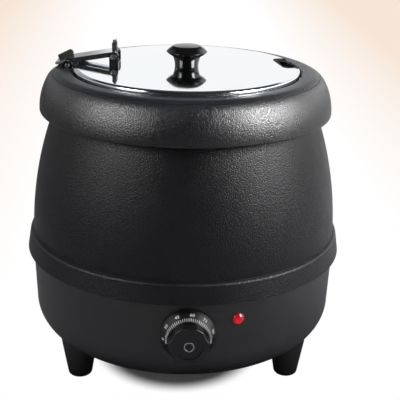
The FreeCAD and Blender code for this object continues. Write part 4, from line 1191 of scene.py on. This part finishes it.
@dataclass
class Dial:
    """Thermostat dial with its printed scale, drawn along +Z from the kettle's axis."""

    azimuth: float = -90.0
    height: float = 98.0
    back: float = 164.931
    skirt_r: float = 27.3
    lip: float = 1.2
    face_r: float = 20.3
    face: float = 12.5
    front: float = 24.5
    edge: float = 0.4
    segments: int = 128
    grip_r: float = 19.8
    lobes: int = 6
    first_hollow: float = 30.0
    hollow_r: float = 22.0
    hollow_depth: float = 1.7
    grip_edge: float = 1.0
    dish_r: float = 13.5
    dish_depth: float = 0.9
    bore_r: float = 3.1
    bore: float = 16.0
    bore_segments: int = 96
    cut_over: float = 2.0
    ring_edge: float = 0.25
    ink: float = 0.12
    tick_count: int = 37
    tick_span: float = 194.0
    tick: Point = (0.36, 3.4)
    tick_r: float = 21.7
    number_r: float = 24.6
    number_size: float = 4.86
    number_steps: int = 4
    numbers: tuple[tuple[str, float], ...] = (
        ("0", -92), ("30", -61), ("45", -27), ("60", 8), ("75", 40), ("90", 74))

    def skirt(self) -> BMesh:
        """Turn the conical skirt with the bore for the shaft.

        Returns:
            The skirt.
        """
        b, face = self.back, self.back + self.face
        pen = Pen(self.bore_r, b).line((self.skirt_r, b), (self.skirt_r, b + self.lip),
                                       (self.face_r, face), (self.bore_r, face))
        return soften(pen.turned(self.segments), self.edge)

    def grip(self) -> BMesh:
        """Lobed grip, drawn as arcs, pulled out and softened.

        Returns:
            The grip.
        """
        step, r = 360 / self.lobes, self.grip_r
        far = r + self.hollow_r - self.hollow_depth
        reach = (far ** 2 + r ** 2 - self.hollow_r ** 2) / (2 * far * r)
        half = atan2((1 - reach * reach) ** 0.5, reach)
        dip = 2 * degrees(atan2(r * sin(half), far - r * cos(half)))
        first = radians(self.first_hollow) + half
        pen = Pen(r * cos(first), r * sin(first))
        for place in range(self.lobes):
            pen.arc(0, 0, step - 2 * degrees(half), steps=10)
            angle = radians(self.first_hollow + step * (place + 1))
            pen.arc(far * cos(angle), far * sin(angle), -dip, steps=12)
        mesh = moved(pen.slab(-self.back - self.front, -self.back - self.face),
                     Matrix.Rotation(-pi / 2, 4, "X"))
        top = (self.back + self.front) * MM - MERGE
        round_off(mesh, [e for e in mesh.edges if all(v.co.z > top for v in e.verts)],
                  self.grip_edge, segments=5)
        return mesh

    def on_cone(self, spot: Vector, radius: float, angle: float) -> Vector:
        """Wrap a flat point of the printing onto the skirt's cone.

        Args:
            spot: Across, outward along the cone and above it, in metres.
            radius: Radius of the cone where the printing sits.
            angle: Degrees clockwise from the top.

        Returns:
            The point on the dial, in metres.
        """
        run, fall = self.skirt_r - self.face_r, self.face - self.lip
        slant = hypot(run, fall)
        down, up = run / slant, fall / slant
        z0 = self.back + self.face - (radius - self.face_r) * fall / run
        r = radius * MM + down * spot.y + up * spot.z
        z = z0 * MM - up * spot.y + down * spot.z
        turn = radians(angle) + spot.x / (radius * MM)
        return Vector((r * sin(turn), r * cos(turn), z))

    def marks(self) -> BMesh:
        """Ticks and numbers of the scale as thin ink.

        Returns:
            The printing, in its place on the cone.
        """
        marks = bmesh.new()
        size = Matrix.Diagonal((*(side * MM for side in (*self.tick, self.ink)), 1))
        for place in range(self.tick_count):
            angle = self.tick_span * (place / (self.tick_count - 1) - 0.5)
            for v in bmesh.ops.create_cube(marks, size=1.0, matrix=size)["verts"]:
                v.co = self.on_cone(v.co, self.tick_r, angle)
        for text, angle in self.numbers:
            curve = bpy.data.curves.new("number", "FONT")
            curve.body, curve.size, curve.extrude = text, self.number_size * MM, self.ink * MM / 2
            curve.align_x, curve.align_y, curve.resolution_u = "CENTER", "CENTER", self.number_steps
            helper = stand("number", curve)
            flat = applied(helper)
            before = set(marks.verts)
            marks.from_mesh(flat)
            for v in set(marks.verts) - before:
                v.co = self.on_cone(v.co, self.number_r, angle)
            bpy.data.objects.remove(helper)
            bpy.data.curves.remove(curve)
            bpy.data.meshes.remove(flat)
        return settle(marks)

    def build(self) -> None:
        """Make dial, printing and centre ring."""
        front, place = self.back + self.front, outward(self.azimuth, self.height)
        dial = shape(piece("dial_form", self.skirt(), SATIN_PHENOLIC), Tooling.JOIN, self.grip())
        dish = plug(self.dish_r, front - self.dish_depth, front + self.cut_over, self.bore_segments)
        bore = plug(self.bore_r, self.back - self.cut_over, self.back + self.bore,
                    self.bore_segments)
        shape(dial, Tooling.CUT, dish, bore).data.transform(place)
        fit(dial, "dial", "gloss_black", "dial")
        scale = piece("dial_scale", moved(self.marks(), place), PRINT_INK)
        fit(scale, "dial", "gloss_black")
        fit(refined("dial_ring", self.ring_edge, ZINC_STEEL), "dial", "bright_screw", "dial_ring")


@dataclass
class Lamp:
    """Red pilot lamp lens."""

    azimuth: float = -72.6
    height: float = 112.0
    seat: float = 163.76
    radius: float = 5.8
    rim: float = 1.2
    rise: float = 4.2
    edge: float = 0.25

    def build(self) -> None:
        """Turn the domed lens."""
        top = self.rise - self.rim
        ball = (self.radius ** 2 + top ** 2) / (2 * top)
        turn = degrees(atan2(self.radius, ball - top))
        pen = Pen(0, self.seat).line((self.radius, self.seat), (self.radius, self.seat + self.rim))
        pen.arc(0, self.seat + self.rise - ball, turn, steps=14)
        mesh = moved(pen.turned(SMALL_SEGMENTS), outward(self.azimuth, self.height))
        lens = piece("lamp_lens", soften(mesh, self.edge), RED_LENS)
        fit(lens, "kettle", "lamp_red", "pilot_lamp_lens")


@dataclass
class Fixings:
    """Screw heads under the base and under the lid, with their driver recesses."""

    circle_r: float = 100.0
    count: int = 6
    head_z: float = 35.5
    knob_head_z: float = 321.941
    recess: Point = (4.0, 0.9)
    depth: float = 1.0
    under: float = 1.0
    edge: float = 0.4

    def cross(self, x: float, z: float, azimuth: float) -> list[BMesh]:
        """Two crossed grooves in the underside of a head.

        Args:
            x: Distance of the head from the kettle's axis.
            z: Height of its underside.
            azimuth: Where it sits round the axis, in degrees.

        Returns:
            The two grooves.
        """
        length, width = self.recess[0] / 2, self.recess[1] / 2
        return [moved(brick((-a, a), (-b, b), (-self.under, self.depth)), at(azimuth, x, z=z))
                for a, b in ((length, width), (width, length))]

    def build(self) -> None:
        """Make the screws whose heads can be seen from below."""
        for node, body, x, z, count in (
                ("bottom_screws", "kettle", self.circle_r, self.head_z, self.count),
                ("knob_screw", "lid", 0.0, self.knob_head_z, 1)):
            screws = refined(node, self.edge, ZINC_STEEL)
            for turn in range(count):
                shape(screws, Tooling.CUT, *self.cross(x, z, turn * 360 / count))
            fit(screws, body, "bright_screw", node)


@dataclass(frozen=True)
class Softbox:
    """Soft lamp, with its place, width and height in metres and its power in watts.

    A mirrored lamp shows in shiny surfaces, and any other lights the matte ones.
    """

    name: str
    spot: Spot
    size: Point
    power: float
    mirrored: bool = True

    def light(self, aim: Spot) -> None:
        """Set the lamp up, pointing at a place in metres.

        Args:
            aim: Where it points.
        """
        data = bpy.data.lights.new(self.name, "AREA")
        data.shape, data.size, data.size_y, data.energy = "RECTANGLE", *self.size, self.power
        lamp = stand(self.name, data)
        lamp.visible_glossy, lamp.visible_diffuse = self.mirrored, not self.mirrored
        turn = (Vector(aim) - Vector(self.spot)).to_track_quat("-Z", "Y").to_matrix().to_4x4()
        lamp.matrix_world = Matrix.Translation(self.spot) @ turn


@dataclass
class Studio:
    """Camera, light, floor and background, in metres and degrees.

    The paper floor turns warm away from its middle line. Mirrors see it in painted shade that
    lightens to the right, and inside the oval under the kettle the camera sees its own shading.
    """

    eye: Spot = (-0.0384, -0.9993, 0.5408)
    azimuth: float = 86.8
    pitch: float = 19.96
    roll: float = 1.40
    lens: float = 87.14
    sensor: float = 36.0
    sight: float = 100.0
    fill: float = 0.3
    floor_size: float = 30.0
    paper: tuple[str, str] = ("#ffffff", "#f7e6d8")
    middle_line: float = 0.06
    warm: Point = (0.28, 0.60)
    # Painted shade on the white paper as mirrors see it: dark grey on the left, lightening to the
    # right
    mirrored_paper_shade: tuple[str, str] = ("#5c5c5e", "#bcbcbe")
    mirrored_turn: Point = (0.25, 0.7)
    oval: Spot = (1.13, 1.0, 1.0)
    oval_shift: Spot = (0.007, 0.0, 0.0)
    oval_edge: Point = (0.084, 0.112)
    aim: Spot = (0.0, 0.0, 0.2)
    boxes: tuple[Softbox, ...] = (
        Softbox("left_box", (-1.6, -0.9, 1.2), (0.9, 1.2), 30),
        Softbox("right_box", (1.6, -0.8, 1.2), (0.9, 1.2), 76),
        Softbox("top_box", (0.0, 0.3, 2.2), (1.4, 1.4), 95, mirrored=False))

    def camera(self) -> None:
        """Set the camera where the photograph was taken from."""
        a, p, roll = radians(self.azimuth), radians(self.pitch), radians(self.roll)
        ahead = Vector((cos(p) * cos(a), cos(p) * sin(a), -sin(p)))
        level = Vector((sin(a), -cos(a), 0))
        rise = level.cross(ahead)
        right = cos(roll) * level + sin(roll) * rise
        up = -sin(roll) * level + cos(roll) * rise
        data = bpy.data.cameras.new("camera")
        data.lens, data.sensor_width, data.clip_end = self.lens, self.sensor, self.sight
        camera = stand("camera", data)
        turn = Matrix((right, up, -ahead)).transposed().to_4x4()
        camera.matrix_world = Matrix.Translation(self.eye) @ turn
        bpy.context.scene.camera = camera

    def world(self) -> None:
        """White to the camera, bright walls and back for mirrors, and a fill for the rest."""
        world = bpy.context.scene.world = bpy.data.worlds.new("studio")
        tree = blank(world)
        place = add(tree, "ShaderNodeTexCoord").outputs["Generated"]
        way = add(tree, "ShaderNodeSeparateXYZ", links={"Vector": place}).outputs
        # Soft steps of brightness along an axis of the direction: from, to, first and last value
        steps = {"ceiling": ("Z", 0.55, 0.85, 1.0, 0.1), "right": ("X", 0.4, 0.6, 0.0, 1.7),
                 "left": ("X", -0.6, -0.4, 0.55, 0.0), "low": ("Z", 0.335, 0.36, 1.0, 0.04),
                 "corner": ("X", -0.125, -0.085, 0.36, 1.0), "front": ("Y", -0.45, -0.1, 0.05, 1.0)}
        soft = {name: add(tree, "ShaderNodeMapRange", {
            "From Min": low, "From Max": high, "To Min": first, "To Max": last,
            "interpolation_type": "SMOOTHSTEP"}, {"Value": way[axis]}).outputs["Result"]
            for name, (axis, low, high, first, last) in steps.items()}
        # What mirrors see, from two steps at a time
        for name, operation, one, other in (
                ("sides", "ADD", "right", "left"), ("walls", "MULTIPLY", "sides", "ceiling"),
                ("back", "MULTIPLY", "low", "corner"), ("band", "MAXIMUM", "walls", "back"),
                ("mirrored", "MULTIPLY", "band", "front")):
            soft[name] = add(tree, "ShaderNodeMath", {"operation": operation},
                             {0: soft[one], 1: soft[other]}).outputs["Value"]
        ray = add(tree, "ShaderNodeLightPath").outputs
        mirror = add(tree, "ShaderNodeMath", {"operation": "MAXIMUM"},
                     {0: ray["Is Glossy Ray"], 1: ray["Is Transmission Ray"]}).outputs["Value"]
        fill = add(tree, "ShaderNodeBackground", {"Color": WHITE, "Strength": self.fill})
        shown = add(tree, "ShaderNodeBackground", {"Color": WHITE}, {"Strength": soft["mirrored"]})
        plain = add(tree, "ShaderNodeBackground", {"Color": WHITE, "Strength": 1.0})
        lit = add(tree, "ShaderNodeMixShader", links={
            0: mirror, 1: fill.outputs["Background"], 2: shown.outputs["Background"]})
        seen = add(tree, "ShaderNodeMixShader", links={
            0: ray["Is Camera Ray"], 1: lit.outputs["Shader"], 2: plain.outputs["Background"]})
        add(tree, "ShaderNodeOutputWorld", links={"Surface": seen.outputs["Shader"]})

    def paper_material(self) -> Material:
        """Pale paper that shines white to the camera, except where the kettle shades it.

        Returns:
            The material.
        """
        material = bpy.data.materials.new("paper_white_matte")
        tree = blank(material)
        place = add(tree, "ShaderNodeTexCoord").outputs["Object"]
        across = add(tree, "ShaderNodeSeparateXYZ", links={"Vector": place}).outputs["X"]
        aside = add(tree, "ShaderNodeMath", {"operation": "SUBTRACT", 1: self.middle_line},
                    {0: across}).outputs["Value"]
        aside = add(tree, "ShaderNodeMath", {"operation": "ABSOLUTE"}, {0: aside}).outputs["Value"]
        oval = add(tree, "ShaderNodeVectorMath", {
            "operation": "MULTIPLY_ADD", 1: self.oval, 2: self.oval_shift}, {0: place})
        far = add(tree, "ShaderNodeVectorMath", {"operation": "LENGTH"},
                  {0: oval.outputs["Vector"]}).outputs["Value"]
        warm, side, clear = (
            add(tree, "ShaderNodeMapRange", {
                "From Min": low, "From Max": high, "interpolation_type": kind},
                {"Value": value}).outputs["Result"]
            for value, (low, high), kind in (
                (aside, self.warm, "LINEAR"), (across, self.mirrored_turn, "LINEAR"),
                (far, self.oval_edge, "SMOOTHSTEP")))
        # The second tone is painted shade that only reflections see: grey paper, lighter to the
        # right
        tone, mirrored = (
            add(tree, "ShaderNodeMix", {"data_type": "RGBA", 6: linear(near), 7: linear(away)},
                {"Factor": share}).outputs[2]
            for share, (near, away) in ((warm, self.paper), (side, self.mirrored_paper_shade)))
        ray = add(tree, "ShaderNodeLightPath").outputs
        shown = add(tree, "ShaderNodeMix", {"data_type": "RGBA"},
                    {"Factor": ray["Is Glossy Ray"], 6: tone, 7: mirrored}).outputs[2]
        paper = add(tree, "ShaderNodeBsdfDiffuse", links={"Color": shown})
        glow = add(tree, "ShaderNodeEmission", {"Strength": 1.0}, {"Color": tone})
        share = add(tree, "ShaderNodeMath", {"operation": "MULTIPLY"},
                    {0: ray["Is Camera Ray"], 1: clear}).outputs["Value"]
        mix = add(tree, "ShaderNodeMixShader", links={
            0: share, 1: paper.outputs["BSDF"], 2: glow.outputs["Emission"]})
        add(tree, "ShaderNodeOutputMaterial", links={"Surface": mix.outputs["Shader"]})
        return material

    def floor(self) -> None:
        """Lay a pale floor that keeps the kettle's shadow."""
        mesh = bmesh.new()
        bmesh.ops.create_grid(mesh, x_segments=1, y_segments=1, size=self.floor_size / 2)
        data = kept("studio_floor", mesh)
        data.materials.append(self.paper_material())
        stand("studio_floor", data)

    def build(self) -> None:
        """Set up the whole studio."""
        bpy.context.scene.view_settings.view_transform = "Standard"
        self.camera()
        self.world()
        self.floor()
        for box in self.boxes:
            box.light(self.aim)


def dress_frame() -> None:
    """Give every CAD node that stays the finish of its material slot."""
    slots = {part["node"]: part["material_slot"] for part in frame["record"]["subparts"]}
    for node, made in frame["nodes"].items():
        made.data.materials.clear()
        made.data.materials.append(SLOT_FINISH[slots[node]].material())


def main() -> None:
    """Build the kettle's pieces in order, then the studio."""
    logging.basicConfig(level=logging.INFO, format="%(name)s: %(message)s")
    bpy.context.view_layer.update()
    dress_frame()
    hinge, crest = Hinge(), Crest()
    for part in (Base(), Jacket(hinge, crest), Rim(hinge, crest), Pot(), Lid(), hinge, Dial(),
                 Lamp(), Fixings(), Studio()):
        part.build()
        log.info("%s done", type(part).__name__)


if __name__ == "__main__":
    main()
